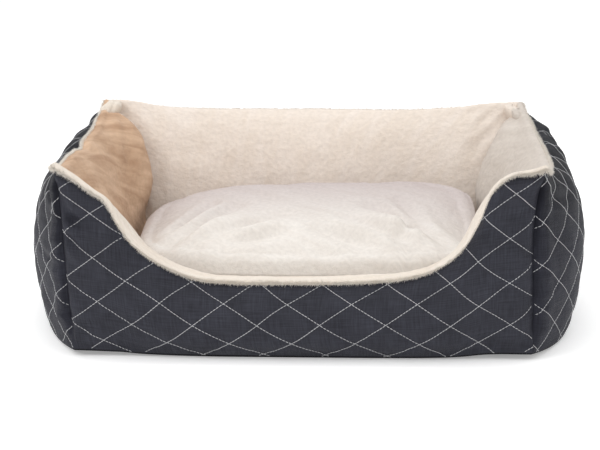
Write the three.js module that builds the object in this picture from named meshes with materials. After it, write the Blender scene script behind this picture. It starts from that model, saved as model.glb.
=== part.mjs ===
// Pet cushion bed: four stuffed walls sewn round a floor, and a loose cushion in the well.
// Millimetres, +X to the right, -Y the front with the low entry, +Z up.
import * as THREE from 'three';

// Overall sizes
const BED_WIDTH = 600;
const BED_DEPTH = 460;
const FRONT_TIP_HEIGHT = 195;
const BACK_TIP_HEIGHT = 202;

// Each wall at its middle. height is the seam between plush and quilted cloth, thickness runs
// from the widest line outside to the foot of the lining, and the two insets say how far the
// foot and the seam stand in from that widest line. shoulderDrop and crownRise place the curve's
// handles below and above the seam, on the outside and on the inside.
const FRONT = { height: 76, thickness: 102, footInset: 24, rimInset: 25, shoulderDrop: 26, crownRise: 12 };
const SIDE = { height: 178, thickness: 100, footInset: 15, rimInset: 42, shoulderDrop: 6, crownRise: -28 };
const BACK = { height: 189, thickness: 95, footInset: 18, rimInset: 38, shoulderDrop: 7, crownRise: -14 };

// Corner seams, from the widest lines of the two walls that meet
const SEAM_FOOT_INSET_X = 64;
const SEAM_FOOT_INSET_Y = 22;
const FRONT_TIP_INSET_X = 50;
const FRONT_TIP_INSET_Y = 23;
const BACK_TIP_INSET_X = 48;
const BACK_TIP_INSET_Y = 45;
const SEAM_SWELL = 9;

// Corners of the well stand this far in from the middle of its sides
const WELL_CORNER_INSET = 8;

// Entry: where the dip starts to rise and where its shoulder is, as shares of the wall's half length
const DIP_START = 0.34;
const DIP_SHOULDER = 0.8;
const DIP_SHOULDER_RISE = 0.74;
const DIP_POWER = 2.5;

// Cloth, wadding and the clearance that every two neighbours keep
const QUILTED_CLOTH = 2.5;
const PLUSH = 4.5;
const LAYER_GAP = 0.6;
const UNDERSIDE_CLOTH = 1.5;
const PAD_THICKNESS = 12;
const PAD_INSET = 3;
const RIM_WIDTH = QUILTED_CLOTH + LAYER_GAP + PLUSH;

// Rows of facets from a wall's foot to its rim, how many of them its wadding fills, and how
// strongly they crowd towards the rim
const WALL_ROWS = 8;
const FILL_ROWS = 7;
const ROW_CROWDING = 1.5;

// Loose cushion
const CUSHION_COVER = 3;
const CUSHION_SIDE_GAP = 3;
const CUSHION_SEAM_HEIGHT = 42;
const CUSHION_RISE = 57;

const UNDERSIDE_TOP = UNDERSIDE_CLOTH;
const WALL_FOOT = UNDERSIDE_TOP + LAYER_GAP;
const FLOOR_LINING_BASE = WALL_FOOT + PAD_THICKNESS + LAYER_GAP;
const CUSHION_BASE = FLOOR_LINING_BASE + PLUSH + LAYER_GAP;

const HALF_WIDTH = BED_WIDTH / 2;
const HALF_DEPTH = BED_DEPTH / 2;
const WELL_HALF_WIDTH = HALF_WIDTH - SIDE.thickness;
const WELL_FRONT = -HALF_DEPTH + FRONT.thickness;
const WELL_BACK = HALF_DEPTH - BACK.thickness;

const NYLON = { color: 0x3d3f46, roughness: 0.55, metalness: 0 };
const CREAM_PLUSH = { color: 0xe6d8c8, roughness: 0.95, metalness: 0 };
const WADDING = { color: 0xf2f2ee, roughness: 1, metalness: 0 };
const CUSHION_PLUSH = { color: 0xf0ebe5, roughness: 0.95, metalness: 0 };
const GRIP_CLOTH = { color: 0x2a2a2d, roughness: 0.8, metalness: 0 };

const point = (x, y, z) => new THREE.Vector3(x, y, z);

// A corner has one seam outside and one inside, each the four control points of a cubic curve
// that runs from the floor to the tip. sideX is -1 or 1 and endY is -1 at the front, 1 at the back.
function corner(sideX, endY) {
  const front = endY < 0;
  const tipHeight = front ? FRONT_TIP_HEIGHT : BACK_TIP_HEIGHT;
  const footX = HALF_WIDTH - SEAM_FOOT_INSET_X;
  const footY = HALF_DEPTH - SEAM_FOOT_INSET_Y;
  const tipX = HALF_WIDTH - (front ? FRONT_TIP_INSET_X : BACK_TIP_INSET_X);
  const tipY = HALF_DEPTH - (front ? FRONT_TIP_INSET_Y : BACK_TIP_INSET_Y);
  const wellX = WELL_HALF_WIDTH - WELL_CORNER_INSET;
  const wellY = (front ? -WELL_FRONT : WELL_BACK) - WELL_CORNER_INSET;
  const inward = point(wellX - tipX, wellY - tipY, 0).setLength(RIM_WIDTH);
  const place = (x, y, z) => point(sideX * x, endY * y, z);
  const lerp = THREE.MathUtils.lerp;
  return {
    outer: [
      place(footX, footY, WALL_FOOT),
      place(footX + SEAM_SWELL, footY + SEAM_SWELL, tipHeight * 0.3),
      place(lerp(footX, tipX, 0.5), lerp(footY, tipY, 0.5) + SEAM_SWELL, tipHeight * 0.66),
      place(tipX, tipY, tipHeight),
    ],
    inner: [
      place(wellX, wellY, WALL_FOOT),
      place(wellX, wellY, tipHeight * 0.35),
      place(lerp(wellX, tipX, 0.42), lerp(wellY, tipY, 0.42), tipHeight * 0.7),
      place(tipX + inward.x, tipY + inward.y, tipHeight),
    ],
  };
}

// The section at the middle of a wall, as (out, up) control points: out is measured from the
// wall's widest line, so it is negative towards the well. The outer curve just reaches that line.
function middleSection({ height, thickness, footInset, rimInset, shoulderDrop, crownRise }) {
  const swell = (footInset + rimInset) / 6;
  const rimInner = rimInset + RIM_WIDTH;
  return {
    outer: [
      [-footInset, WALL_FOOT],
      [swell, height * 0.3],
      [swell, height - shoulderDrop],
      [-rimInset, height],
    ],
    inner: [
      [-thickness, WALL_FOOT],
      [-thickness, height * 0.4],
      [-THREE.MathUtils.lerp(rimInner, thickness, 0.68), height + crownRise],
      [-rimInner, height],
    ],
  };
}

// How far the front rim has climbed from the low entry (0) to the tip (1)
function dipRise(s) {
  const reach = Math.abs(s);
  const curve = THREE.MathUtils.clamp((reach - DIP_START) / (DIP_SHOULDER - DIP_START), 0, 1);
  const slope = THREE.MathUtils.clamp((reach - DIP_SHOULDER) / (1 - DIP_SHOULDER), 0, 1);
  return DIP_SHOULDER_RISE * curve ** DIP_POWER + (1 - DIP_SHOULDER_RISE) * slope;
}

const rounded = (power) => (s) => 1 - Math.abs(s) ** power;

const CORNERS = {
  frontLeft: corner(-1, -1),
  frontRight: corner(1, -1),
  backLeft: corner(-1, 1),
  backRight: corner(1, 1),
};

// Each wall runs from its start corner (s = -1) to its end corner (s = 1). out is the direction
// of its outside, widest is where its widest line lies along it, columns are its s steps.
const WALLS = [
  {
    name: 'front',
    start: CORNERS.frontLeft,
    end: CORNERS.frontRight,
    out: point(0, -1, 0),
    widest: HALF_DEPTH,
    section: middleSection(FRONT),
    bulge: rounded(5),
    drop: (s) => 1 - dipRise(s),
    columns: 26,
  },
  {
    name: 'right',
    start: CORNERS.frontRight,
    end: CORNERS.backRight,
    out: point(1, 0, 0),
    widest: HALF_WIDTH,
    section: middleSection(SIDE),
    bulge: rounded(2.4),
    drop: rounded(4),
    columns: 12,
  },
  {
    name: 'back',
    start: CORNERS.backRight,
    end: CORNERS.backLeft,
    out: point(0, 1, 0),
    widest: HALF_DEPTH,
    section: middleSection(BACK),
    bulge: rounded(3),
    drop: rounded(6),
    columns: 14,
  },
  {
    name: 'left',
    start: CORNERS.backLeft,
    end: CORNERS.frontLeft,
    out: point(-1, 0, 0),
    widest: HALF_WIDTH,
    section: middleSection(SIDE),
    bulge: rounded(2.4),
    drop: rounded(4),
    columns: 12,
  },
];

// One control point of a wall's face at s: it starts on the line between the two corners and
// moves out and down towards the middle section.
function controlPoint(wall, face, index, s) {
  const share = (s + 1) / 2;
  const base = wall.start[face][index].clone().lerp(wall.end[face][index], share);
  const [out, up] = wall.section[face][index];
  const outNow = base.dot(wall.out);
  const outMove = (wall.widest + out - outNow) * wall.bulge(s);
  base.addScaledVector(wall.out, outMove);
  base.z = THREE.MathUtils.lerp(base.z, up, wall.drop(s));
  return base;
}

// Point on the outer or inner face: s along the wall, v from the foot (0) to the rim (1)
function facePoint(wall, face, s, v) {
  const controls = [0, 1, 2, 3].map((index) => controlPoint(wall, face, index, s));
  return new THREE.CubicBezierCurve3(...controls).getPoint(v);
}

// Point a given depth in from one face, on the straight tie to the other face
function layerPoint(wall, face, s, v, depth) {
  const other = face === 'outer' ? 'inner' : 'outer';
  const from = facePoint(wall, face, s, v);
  const tie = facePoint(wall, other, s, v).sub(from);
  return from.addScaledVector(tie.normalize(), depth);
}

function halfLength(wall) {
  return wall.start.outer[0].distanceTo(wall.end.outer[0]) / 2;
}

// Rows of points over one layer of a wall, stopping short of the corner seams by a gap
function layerGrid(wall, face, depth, topRow = WALL_ROWS) {
  const reach = 1 - LAYER_GAP / halfLength(wall);
  const grid = [];
  for (let row = 0; row <= topRow; row += 1) {
    const v = 1 - (1 - row / WALL_ROWS) ** ROW_CROWDING;
    const line = [];
    for (let column = 0; column <= wall.columns; column += 1) {
      const s = reach * ((2 * column) / wall.columns - 1);
      line.push(layerPoint(wall, face, s, v, depth));
    }
    grid.push(line);
  }
  return grid;
}

// Closed geometry from indexed points, turned outward if it came out inside out
function closedGeometry(points, triangles) {
  let volume = 0;
  for (const [a, b, c] of triangles) {
    volume += points[a].dot(points[b].clone().cross(points[c]));
  }
  const faces = volume < 0 ? triangles.map(([a, b, c]) => [a, c, b]) : triangles;
  const geometry = new THREE.BufferGeometry();
  geometry.setAttribute('position', new THREE.Float32BufferAttribute(points.flatMap((p) => [...p]), 3));
  geometry.setIndex(faces.flat());
  geometry.computeVertexNormals();
  return geometry;
}

// Solid between two grids of the same size, with a strip round all four edges
function slab(gridA, gridB) {
  const rows = gridA.length;
  const columns = gridA[0].length;
  const points = [...gridA.flat(), ...gridB.flat()];
  const offset = rows * columns;
  const at = (row, column) => row * columns + column;
  const triangles = [];
  const quad = (a, b, c, d) => triangles.push([a, b, c], [a, c, d]);
  for (let r = 0; r < rows - 1; r += 1) {
    for (let c = 0; c < columns - 1; c += 1) {
      const [a, b, d, e] = [at(r, c), at(r, c + 1), at(r + 1, c + 1), at(r + 1, c)];
      triangles.push([a, b, d], [a, d, e]);
      triangles.push([d + offset, b + offset, a + offset], [e + offset, d + offset, a + offset]);
    }
  }
  const rim = [];
  for (let c = 0; c < columns - 1; c += 1) rim.push(at(0, c));
  for (let r = 0; r < rows - 1; r += 1) rim.push(at(r, columns - 1));
  for (let c = columns - 1; c > 0; c -= 1) rim.push(at(rows - 1, c));
  for (let r = rows - 1; r > 0; r -= 1) rim.push(at(r, 0));
  rim.forEach((index, k) => {
    const next = rim[(k + 1) % rim.length];
    quad(next, index, index + offset, next + offset);
  });
  return closedGeometry(points, triangles);
}

function part(name, geometry, finish) {
  const mesh = new THREE.Mesh(geometry, new THREE.MeshStandardMaterial(finish));
  mesh.name = name;
  return mesh;
}

function outerPanel(wall) {
  const outside = layerGrid(wall, 'outer', 0);
  const inside = layerGrid(wall, 'outer', QUILTED_CLOTH);
  return part(`${wall.name}_outer_panel`, slab(outside, inside), NYLON);
}

function innerLining(wall) {
  const pile = layerGrid(wall, 'inner', 0);
  const backing = layerGrid(wall, 'inner', PLUSH);
  return part(`${wall.name}_inner_lining`, slab(pile, backing), CREAM_PLUSH);
}

function bolsterFill(wall) {
  const outside = layerGrid(wall, 'outer', QUILTED_CLOTH + LAYER_GAP, FILL_ROWS);
  const inside = layerGrid(wall, 'inner', PLUSH + LAYER_GAP, FILL_ROWS);
  return part(`${wall.name}_bolster_fill`, slab(outside, inside), WADDING);
}

// Closed outline of the walls' feet, moved inward by an inset
function footOutline(face, inset) {
  const centreY = face === 'inner' ? (WELL_FRONT + WELL_BACK) / 2 : 0;
  const halfX = face === 'inner' ? WELL_HALF_WIDTH : HALF_WIDTH;
  const halfY = face === 'inner' ? (WELL_BACK - WELL_FRONT) / 2 : HALF_DEPTH;
  const shape = [];
  for (const wall of WALLS) {
    for (let step = 0; step < wall.columns; step += 1) {
      const foot = facePoint(wall, face, (2 * step) / wall.columns - 1, 0);
      const x = foot.x * (1 - inset / halfX);
      const y = centreY + (foot.y - centreY) * (1 - inset / halfY);
      shape.push(new THREE.Vector2(x, y));
    }
  }
  return new THREE.Shape(shape);
}

function flatSheet(name, outline, thickness, baseZ, finish) {
  const geometry = new THREE.ExtrudeGeometry(outline, { depth: thickness, bevelEnabled: false });
  const sheet = part(name, geometry, finish);
  sheet.position.z = baseZ;
  return sheet;
}

function floorParts() {
  const well = footOutline('inner', PAD_INSET);
  return [
    flatSheet('base_underside', footOutline('outer', 0), UNDERSIDE_CLOTH, 0, GRIP_CLOTH),
    flatSheet('base_pad', well, PAD_THICKNESS, WALL_FOOT, WADDING),
    flatSheet('floor_lining', well, PLUSH, FLOOR_LINING_BASE, CREAM_PLUSH),
  ];
}

const CUSHION_SEGMENTS = 32;
const CUSHION_RINGS = 6;
const CUSHION_SQUARENESS = 4.5;
const CUSHION_EDGE_FULLNESS = 2.6;

// Rings of a pillow face from its pole to the seam. rise is negative for the underside, and
// inset moves the whole face in from the cover's outside.
function pillowRings(rise, inset) {
  const halfX = WELL_HALF_WIDTH - CUSHION_SIDE_GAP - inset;
  const halfY = (WELL_BACK - WELL_FRONT) / 2 - CUSHION_SIDE_GAP - inset;
  const height = rise - Math.sign(rise) * inset;
  const rings = [[point(0, 0, height)]];
  for (let ring = 1; ring <= CUSHION_RINGS; ring += 1) {
    const turn = (ring / CUSHION_RINGS) * (Math.PI / 2);
    const spread = Math.sin(turn) ** (2 / CUSHION_EDGE_FULLNESS);
    const lift = height * Math.max(Math.cos(turn), 0) ** (2 / CUSHION_EDGE_FULLNESS);
    const seamRow = ring === CUSHION_RINGS;
    const line = [];
    for (let segment = 0; segment < CUSHION_SEGMENTS; segment += 1) {
      const angle = (segment / CUSHION_SEGMENTS) * Math.PI * 2;
      const [c, s] = [Math.cos(angle), Math.sin(angle)];
      const squircle = (value) => Math.sign(value) * Math.abs(value) ** (2 / CUSHION_SQUARENESS);
      line.push(point(halfX * squircle(c) * spread, halfY * squircle(s) * spread, seamRow ? 0 : lift));
    }
    rings.push(line);
  }
  return rings;
}

// Closed body through rings of equal length, with a single point at each end
function ringBody(rings) {
  const points = rings.flat();
  const starts = [];
  let count = 0;
  for (const ring of rings) {
    starts.push(count);
    count += ring.length;
  }
  const triangles = [];
  for (let k = 0; k < rings.length - 1; k += 1) {
    const [a, b] = [rings[k].length, rings[k + 1].length];
    for (let i = 0; i < CUSHION_SEGMENTS; i += 1) {
      const next = (i + 1) % CUSHION_SEGMENTS;
      if (b > 1) triangles.push([starts[k] + (i % a), starts[k + 1] + i, starts[k + 1] + next]);
      if (a > 1) triangles.push([starts[k] + i, starts[k + 1] + (next % b), starts[k] + next]);
    }
  }
  return closedGeometry(points, triangles);
}

function raised(rings, amount) {
  return rings.map((ring) => ring.map((p) => point(p.x, p.y, p.z + amount)));
}

// A cover is the outside of the pillow and the same face moved in by the cover's thickness
function coverBody(rise) {
  const seamLift = (Math.sign(rise) * LAYER_GAP) / 2;
  const outside = raised(pillowRings(rise, 0), seamLift);
  const inside = raised(pillowRings(rise, CUSHION_COVER), seamLift);
  return ringBody([...outside, ...inside.reverse()]);
}

function fillBody(rise, drop) {
  const inset = CUSHION_COVER + LAYER_GAP;
  const top = pillowRings(rise, inset);
  const bottom = pillowRings(-drop, inset).reverse();
  return ringBody([...top, ...bottom.slice(1)]);
}

function cushionParts() {
  const cushion = new THREE.Group();
  cushion.position.set(0, (WELL_FRONT + WELL_BACK) / 2, CUSHION_BASE + CUSHION_SEAM_HEIGHT);
  cushion.add(
    part('cushion_top_cover', coverBody(CUSHION_RISE), CUSHION_PLUSH),
    part('cushion_bottom_cover', coverBody(-CUSHION_SEAM_HEIGHT), CUSHION_PLUSH),
    part('cushion_fill', fillBody(CUSHION_RISE, CUSHION_SEAM_HEIGHT), WADDING),
  );
  return cushion;
}

const bed = new THREE.Group();
for (const wall of WALLS) bed.add(outerPanel(wall), innerLining(wall), bolsterFill(wall));
bed.add(...floorParts(), cushionParts());

// The origin is the middle of the footprint, on the floor
const middle = new THREE.Box3().setFromObject(bed).getCenter(new THREE.Vector3());
bed.position.y = -middle.y;

export default bed;
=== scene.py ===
# %% [markdown]
# # A pet cushion bed
# Four stuffed walls stand round a flat floor, with a loose cushion lying in the well between them.
# The CAD frame gives every piece its place and size. Here each cloth is made as a sheet of its own:
# quilted nylon outside, short-pile plush inside, and wadding between them.

# %% Load the frame
import itertools
import math
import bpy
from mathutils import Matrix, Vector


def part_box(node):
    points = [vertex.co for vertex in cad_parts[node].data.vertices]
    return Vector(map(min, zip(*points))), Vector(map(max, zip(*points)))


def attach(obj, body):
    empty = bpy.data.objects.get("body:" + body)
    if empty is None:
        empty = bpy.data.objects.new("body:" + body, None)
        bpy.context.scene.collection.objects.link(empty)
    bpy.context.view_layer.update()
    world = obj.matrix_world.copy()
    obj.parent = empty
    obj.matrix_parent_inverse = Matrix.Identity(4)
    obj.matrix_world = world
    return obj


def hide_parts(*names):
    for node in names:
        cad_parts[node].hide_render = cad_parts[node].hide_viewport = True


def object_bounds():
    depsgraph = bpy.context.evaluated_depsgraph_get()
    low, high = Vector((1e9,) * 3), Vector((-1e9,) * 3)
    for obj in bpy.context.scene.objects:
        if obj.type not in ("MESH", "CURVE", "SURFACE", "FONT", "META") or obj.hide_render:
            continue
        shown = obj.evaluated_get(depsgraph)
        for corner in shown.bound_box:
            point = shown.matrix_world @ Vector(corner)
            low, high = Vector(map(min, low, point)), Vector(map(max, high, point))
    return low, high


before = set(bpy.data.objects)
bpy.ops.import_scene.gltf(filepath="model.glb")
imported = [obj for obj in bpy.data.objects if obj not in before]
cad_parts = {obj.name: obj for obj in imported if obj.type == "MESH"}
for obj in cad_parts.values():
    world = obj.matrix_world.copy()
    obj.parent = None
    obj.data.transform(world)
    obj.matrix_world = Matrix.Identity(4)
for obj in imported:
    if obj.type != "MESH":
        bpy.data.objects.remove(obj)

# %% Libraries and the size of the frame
from types import SimpleNamespace

import bpy
import numpy as np
from mathutils import Vector

cad_low, cad_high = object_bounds()
HALF_WIDTH = (cad_high.x - cad_low.x) / 2
HALF_DEPTH = (cad_high.y - cad_low.y) / 2
print("frame", [round(v, 4) for v in (*cad_low, *cad_high)])

# %% [markdown]
# ## Measuring the frame
# Good soft goods start from a few measured points. The heights of the walls and the size of the
# well are read from the CAD solids, so that a changed frame changes this bed too.


# %% Heights and the well, read from the solids
def solid_points(node):
    """All corners of one CAD solid as an array."""
    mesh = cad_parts[node].data
    points = np.zeros(len(mesh.vertices) * 3)
    mesh.vertices.foreach_get("co", points)
    return points.reshape(-1, 3)


def height_at_middle(node, along):
    """The top of a wall at the middle of its length; along is 0 for X and 1 for Y."""
    points = solid_points(node)
    return points[abs(points[:, along] - points[:, along].mean()) < 0.012, 2].max()


FRONT_HEIGHT = height_at_middle("front_outer_panel", 0)
SIDE_HEIGHT = height_at_middle("left_outer_panel", 1)
BACK_HEIGHT = height_at_middle("back_outer_panel", 0)
FRONT_TIP_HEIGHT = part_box("front_outer_panel")[1].z
BACK_TIP_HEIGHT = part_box("back_outer_panel")[1].z
FOOT_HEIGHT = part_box("front_outer_panel")[0].z

floor_low, floor_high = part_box("floor_lining")
FLOOR_INSET = 0.003
WELL_HALF_WIDTH = floor_high.x + FLOOR_INSET
WELL_FRONT = floor_low.y - FLOOR_INSET
WELL_BACK = floor_high.y + FLOOR_INSET
WELL_MIDDLE = (WELL_FRONT + WELL_BACK) / 2
print("heights", [round(v, 4) for v in (FRONT_HEIGHT, SIDE_HEIGHT, BACK_HEIGHT, FRONT_TIP_HEIGHT)])

# %% [markdown]
# ## One smooth noise for every soft thing
# Cloth is never regular, but a lesson has to come out the same each time. This noise takes its
# values from a seeded table and blends them, so it is smooth, and the same seed gives the same bed.


# %% Seeded smooth noise
def soft_noise(points, size, seed):
    """Smooth values from -1 to 1 that change over about size metres."""
    table = np.random.default_rng(seed).uniform(-1, 1, 8192)
    grid = np.asarray(points, float) / size
    cell = np.floor(grid).astype(np.int64)
    part = grid - cell
    part = part * part * (3 - 2 * part)
    total = np.zeros(grid.shape[:-1])
    primes = (73856093, 19349663, 83492791)[: grid.shape[-1]]
    for corner in itertools.product((0, 1), repeat=grid.shape[-1]):
        key = np.zeros(grid.shape[:-1], np.int64)
        weight = np.ones(grid.shape[:-1])
        for axis, step in enumerate(corner):
            key += (cell[..., axis] + step) * primes[axis]
            weight *= part[..., axis] if step else 1 - part[..., axis]
        total += weight * table[key % len(table)]
    return total


def smooth_step(value, low, high):
    """0 below low, 1 above high, and a smooth rise between them."""
    share = np.clip((value - low) / (high - low), 0, 1)
    return share * share * (3 - 2 * share)


# %% [markdown]
# ## The shape of a stuffed wall
# Each wall is a skin between four seams. Its section in the middle is a fat roll, and at both ends
# it thins out to a pointed corner. Two cubic curves describe a section, one outside and one inside,
# and they change along the wall. This is how a pattern cutter thinks of a bolster, and it lets the
# cloth, the plush and the filling share one shape.

# %% Corners
RIM_WIDTH = 0.0076
SEAM_SWELL = 0.009
SEAM_FOOT = (0.067, 0.022)
SEAM_FOOT_LIFT = 0.006
FRONT_TIP = (0.0505, 0.023)
FRONT_TIP_SHIFT = {-1: 0.0, 1: -0.0075}
FRONT_TIP_LIFT = 0.0050
BACK_TIP = (0.048, 0.045)
WELL_CORNER = 0.008
SEAM_PULL = 0.0015
SEAM_LEAN = 0.018


def corner_curves(side_x, end_y):
    """The seam curves at one corner, from the floor to the tip, outside and inside."""
    front = end_y < 0
    tip_height = FRONT_TIP_HEIGHT + FRONT_TIP_LIFT if front else BACK_TIP_HEIGHT
    tip_inset = FRONT_TIP if front else BACK_TIP
    foot = np.array([HALF_WIDTH - SEAM_FOOT[0], HALF_DEPTH - SEAM_FOOT[1]])
    leans = 1.0 if front and side_x > 0 else 0.0
    foot = foot - np.array([SEAM_PULL * leans, 0.0])
    tip = np.array([HALF_WIDTH - tip_inset[0], HALF_DEPTH - tip_inset[1]])
    tip[0] += FRONT_TIP_SHIFT[side_x] if front else 0.0
    well = np.array([WELL_HALF_WIDTH, -WELL_FRONT if front else WELL_BACK]) - WELL_CORNER
    inward = (well - tip) / np.linalg.norm(well - tip) * RIM_WIDTH
    sign = np.array([side_x, end_y])

    def place(plan, height):
        return np.array([*(plan * sign), height])

    return {
        "outer": [
            place(foot, FOOT_HEIGHT + SEAM_FOOT_LIFT),
            place(foot + SEAM_SWELL, tip_height * 0.3),
            place((foot + tip) / 2 + np.array([-SEAM_LEAN * leans, SEAM_SWELL]), tip_height * 0.66),
            place(tip, tip_height),
        ],
        "inner": [
            place(well, FOOT_HEIGHT),
            place(well, tip_height * 0.35),
            place(well + (tip - well) * 0.42, tip_height * 0.7),
            place(tip + inward, tip_height),
        ],
    }


CORNERS = {(x, y): corner_curves(x, y) for x in (-1, 1) for y in (-1, 1)}


# %% Middle sections
def middle_section(height, thickness, foot_inset, rim_inset, shoulder_drop, crown_rise):
    """(out, up) handles of a wall's section at its middle; out is from the wall's widest line."""
    swell = (foot_inset + rim_inset) / 6
    rim_inner = rim_inset + RIM_WIDTH
    crown = -(rim_inner + (thickness - rim_inner) * 0.68)
    return {
        "outer": [
            (-foot_inset, FOOT_HEIGHT),
            (swell, height * 0.3),
            (swell, height - shoulder_drop),
            (-rim_inset, height),
        ],
        "inner": [
            (-thickness, FOOT_HEIGHT),
            (-thickness, height * 0.4),
            (crown, height + crown_rise),
            (-rim_inner, height),
        ],
    }


FRONT_SECTION = middle_section(FRONT_HEIGHT, HALF_DEPTH + WELL_FRONT, 0.024, 0.025, 0.026, 0.012)
SIDE_SECTION = middle_section(SIDE_HEIGHT, HALF_WIDTH - WELL_HALF_WIDTH, 0.015, 0.042, 0.006, -0.028)
BACK_SECTION = middle_section(BACK_HEIGHT, HALF_DEPTH - WELL_BACK, 0.018, 0.038, 0.007, -0.014)

# %% [markdown]
# ## The entry
# The front wall dips in a wide U, so that a small animal can step in. A few points give the rim's
# climb from the low middle (0) to the tip (1), and a smooth curve runs through them. The two sides
# differ a little, because a stuffed rim never settles evenly.

# %% The rim of the front wall
LEFT_CLIMB = ((0.0, 0.0), (0.36, 0.01), (0.53, 0.11), (0.69, 0.34), (0.745, 0.51), (0.79, 0.69),
              (0.84, 0.765), (0.91, 0.88), (1.0, 1.0))
RIGHT_CLIMB = ((0.0, 0.0), (0.33, 0.02), (0.52, 0.09), (0.66, 0.28), (0.735, 0.54), (0.785, 0.79),
               (0.86, 0.925), (0.95, 0.965), (1.0, 1.0))


def smooth_through(points, value):
    """A smooth curve through a few points, with slopes that never overshoot."""
    x, y = np.array(points).T
    step = np.diff(y) / np.diff(x)
    slope = np.concatenate([[0.0], np.sqrt(np.maximum(step[:-1] * step[1:], 0)), [step[-1]]])
    k = np.clip(np.searchsorted(x, value, side="right") - 1, 0, len(x) - 2)
    width = x[k + 1] - x[k]
    t = np.clip((value - x[k]) / width, 0, 1)
    return (
        y[k] * (1 + 2 * t) * (1 - t) ** 2
        + y[k + 1] * t * t * (3 - 2 * t)
        + width * slope[k] * t * (1 - t) ** 2
        + width * slope[k + 1] * t * t * (t - 1)
    )


def front_drop(s):
    """1 where the front rim is at its lowest, 0 at the tips."""
    reach = np.abs(s)
    climb = np.where(s < 0, smooth_through(LEFT_CLIMB, reach), smooth_through(RIGHT_CLIMB, reach))
    return 1 - climb


# %% The four walls
def wall(name, start, end, out, widest, section, bulge, drop, wave):
    return SimpleNamespace(
        name=name, start=CORNERS[start], end=CORNERS[end], out=np.array(out, float),
        widest=widest, section=section, bulge=bulge, drop=drop, wave=wave,
    )


def rounded(power, last_power=None):
    """A bulge that is 1 in the middle and 0 at the ends; a high power makes a square shoulder."""
    def bulge(s):
        return 1 - np.abs(s) ** np.where(s < 0, power, last_power or power)

    return bulge


BACK_LEFT_CLIMB = ((0.0, 0.0), (0.45, 0.05), (0.64, 0.16), (0.74, 0.34), (0.81, 0.66), (0.9, 0.93),
                   (1.0, 1.0))
BACK_RIGHT_CLIMB = ((0.0, 0.0), (0.43, 0.02), (0.67, 0.30), (0.86, 0.80), (1.0, 1.0))


def back_drop(s):
    reach = np.abs(s)
    right, left = smooth_through(BACK_RIGHT_CLIMB, reach), smooth_through(BACK_LEFT_CLIMB, reach)
    return 1 - np.where(s < 0, right, left)


# %% [markdown]
# The rims of the side walls wave in and out. Each is given as a few places along the wall, from its
# first corner (-1) to its last (1), with how far the rim stands out and up from the plain section.

# %% Waves of the side rims
LEFT_WAVE = ((-1.0, 0.0, 0.0), (-0.7, -0.004, 0.006), (-0.4, -0.008, 0.006), (-0.12, -0.007, 0.004),
             (0.0, -0.008, -0.001), (0.2, -0.006, 0.003), (0.45, -0.006, 0.006), (0.7, -0.004, 0.003),
             (1.0, 0.0, 0.0))
RIGHT_WAVE = ((-1.0, 0.0, 0.0), (-0.7, -0.005, 0.002), (-0.3, -0.001, 0.0), (0.1, -0.001, 0.003),
              (0.4, -0.001, 0.004), (0.7, 0.001, 0.004), (1.0, 0.0, 0.0))
FRONT_WAVE = ((-1.0, 0.0, 0.0), (-0.6, 0.0, 0.0035), (0.6, 0.0, 0.0035), (1.0, 0.0, 0.0))
NO_WAVE = ((-1.0, 0.0, 0.0), (1.0, 0.0, 0.0))


def rim_wave(points, s):
    """How far a rim stands out and up at each place."""
    at, out, up = np.array(points).T
    eased = np.interp(s, at, np.arange(len(at)))
    k = np.clip(np.floor(eased), 0, len(at) - 2).astype(int)
    t = smooth_step(eased - k, 0, 1)
    return out[k] * (1 - t) + out[k + 1] * t, up[k] * (1 - t) + up[k + 1] * t


WALLS = {
    w.name: w
    for w in (
        wall("front", (-1, -1), (1, -1), (0, -1, 0), HALF_DEPTH, FRONT_SECTION,
             rounded(5, 7), front_drop, FRONT_WAVE),
        wall("right", (1, -1), (1, 1), (1, 0, 0), HALF_WIDTH, SIDE_SECTION,
             rounded(2.9, 2.4), rounded(4), RIGHT_WAVE),
        wall("back", (1, 1), (-1, 1), (0, 1, 0), HALF_DEPTH, BACK_SECTION,
             rounded(3), back_drop, NO_WAVE),
        wall("left", (-1, 1), (-1, -1), (-1, 0, 0), HALF_WIDTH, SIDE_SECTION,
             rounded(2.4, 2.3), rounded(4), LEFT_WAVE),
    )
}


def wall_face(w, face, s, v):
    """Points of a wall's face: s from -1 to 1 along it, v from the foot (0) to the rim (1)."""
    s, v = np.broadcast_arrays(s, v)
    share = ((s + 1) / 2)[..., None]
    weights = ((1 - v) ** 3, 3 * v * (1 - v) ** 2, 3 * v * v * (1 - v), v**3)
    total = np.zeros(s.shape + (3,))
    for k, weight in enumerate(weights):
        point = w.start[face][k] * (1 - share) + w.end[face][k] * share
        out, up = w.section[face][k]
        move = (w.widest + out - point @ w.out) * w.bulge(s)
        point = point + move[..., None] * w.out
        point[..., 2] += (up - point[..., 2]) * w.drop(s)
        total += weight[..., None] * point
    if w.name == "front" and face == "inner":
        narrow = smooth_step(np.abs(s), 0.45, 0.7) * (1 - smooth_step(np.abs(s), 0.85, 1.0)) * v**4
        total += (narrow * RIM_WIDTH * 0.5)[..., None] * w.out
    shift_out, shift_up = rim_wave(w.wave, s)
    total += (shift_out * v**3)[..., None] * w.out
    total[..., 2] += shift_up * v**4
    return total


for w in WALLS.values():
    print(w.name, "middle", wall_face(w, "outer", 0.0, np.array([0, 0.5, 1.0])).round(3).tolist())

# %% [markdown]
# ## From a curved face to flat cloth
# A quilting machine works on flat cloth. To stitch straight lines that follow the wall, each face
# is unrolled: a is the distance along the wall and b the distance up from its foot, both measured
# on the surface. Outside, a is measured on a level line, which the stitching follows; inside, it is
# measured on the middle row. Every row keeps the same a, so cloth far from that line is not to scale.


# %% Even grids with flat coordinates
LATTICE_LEVEL = 0.05


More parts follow.
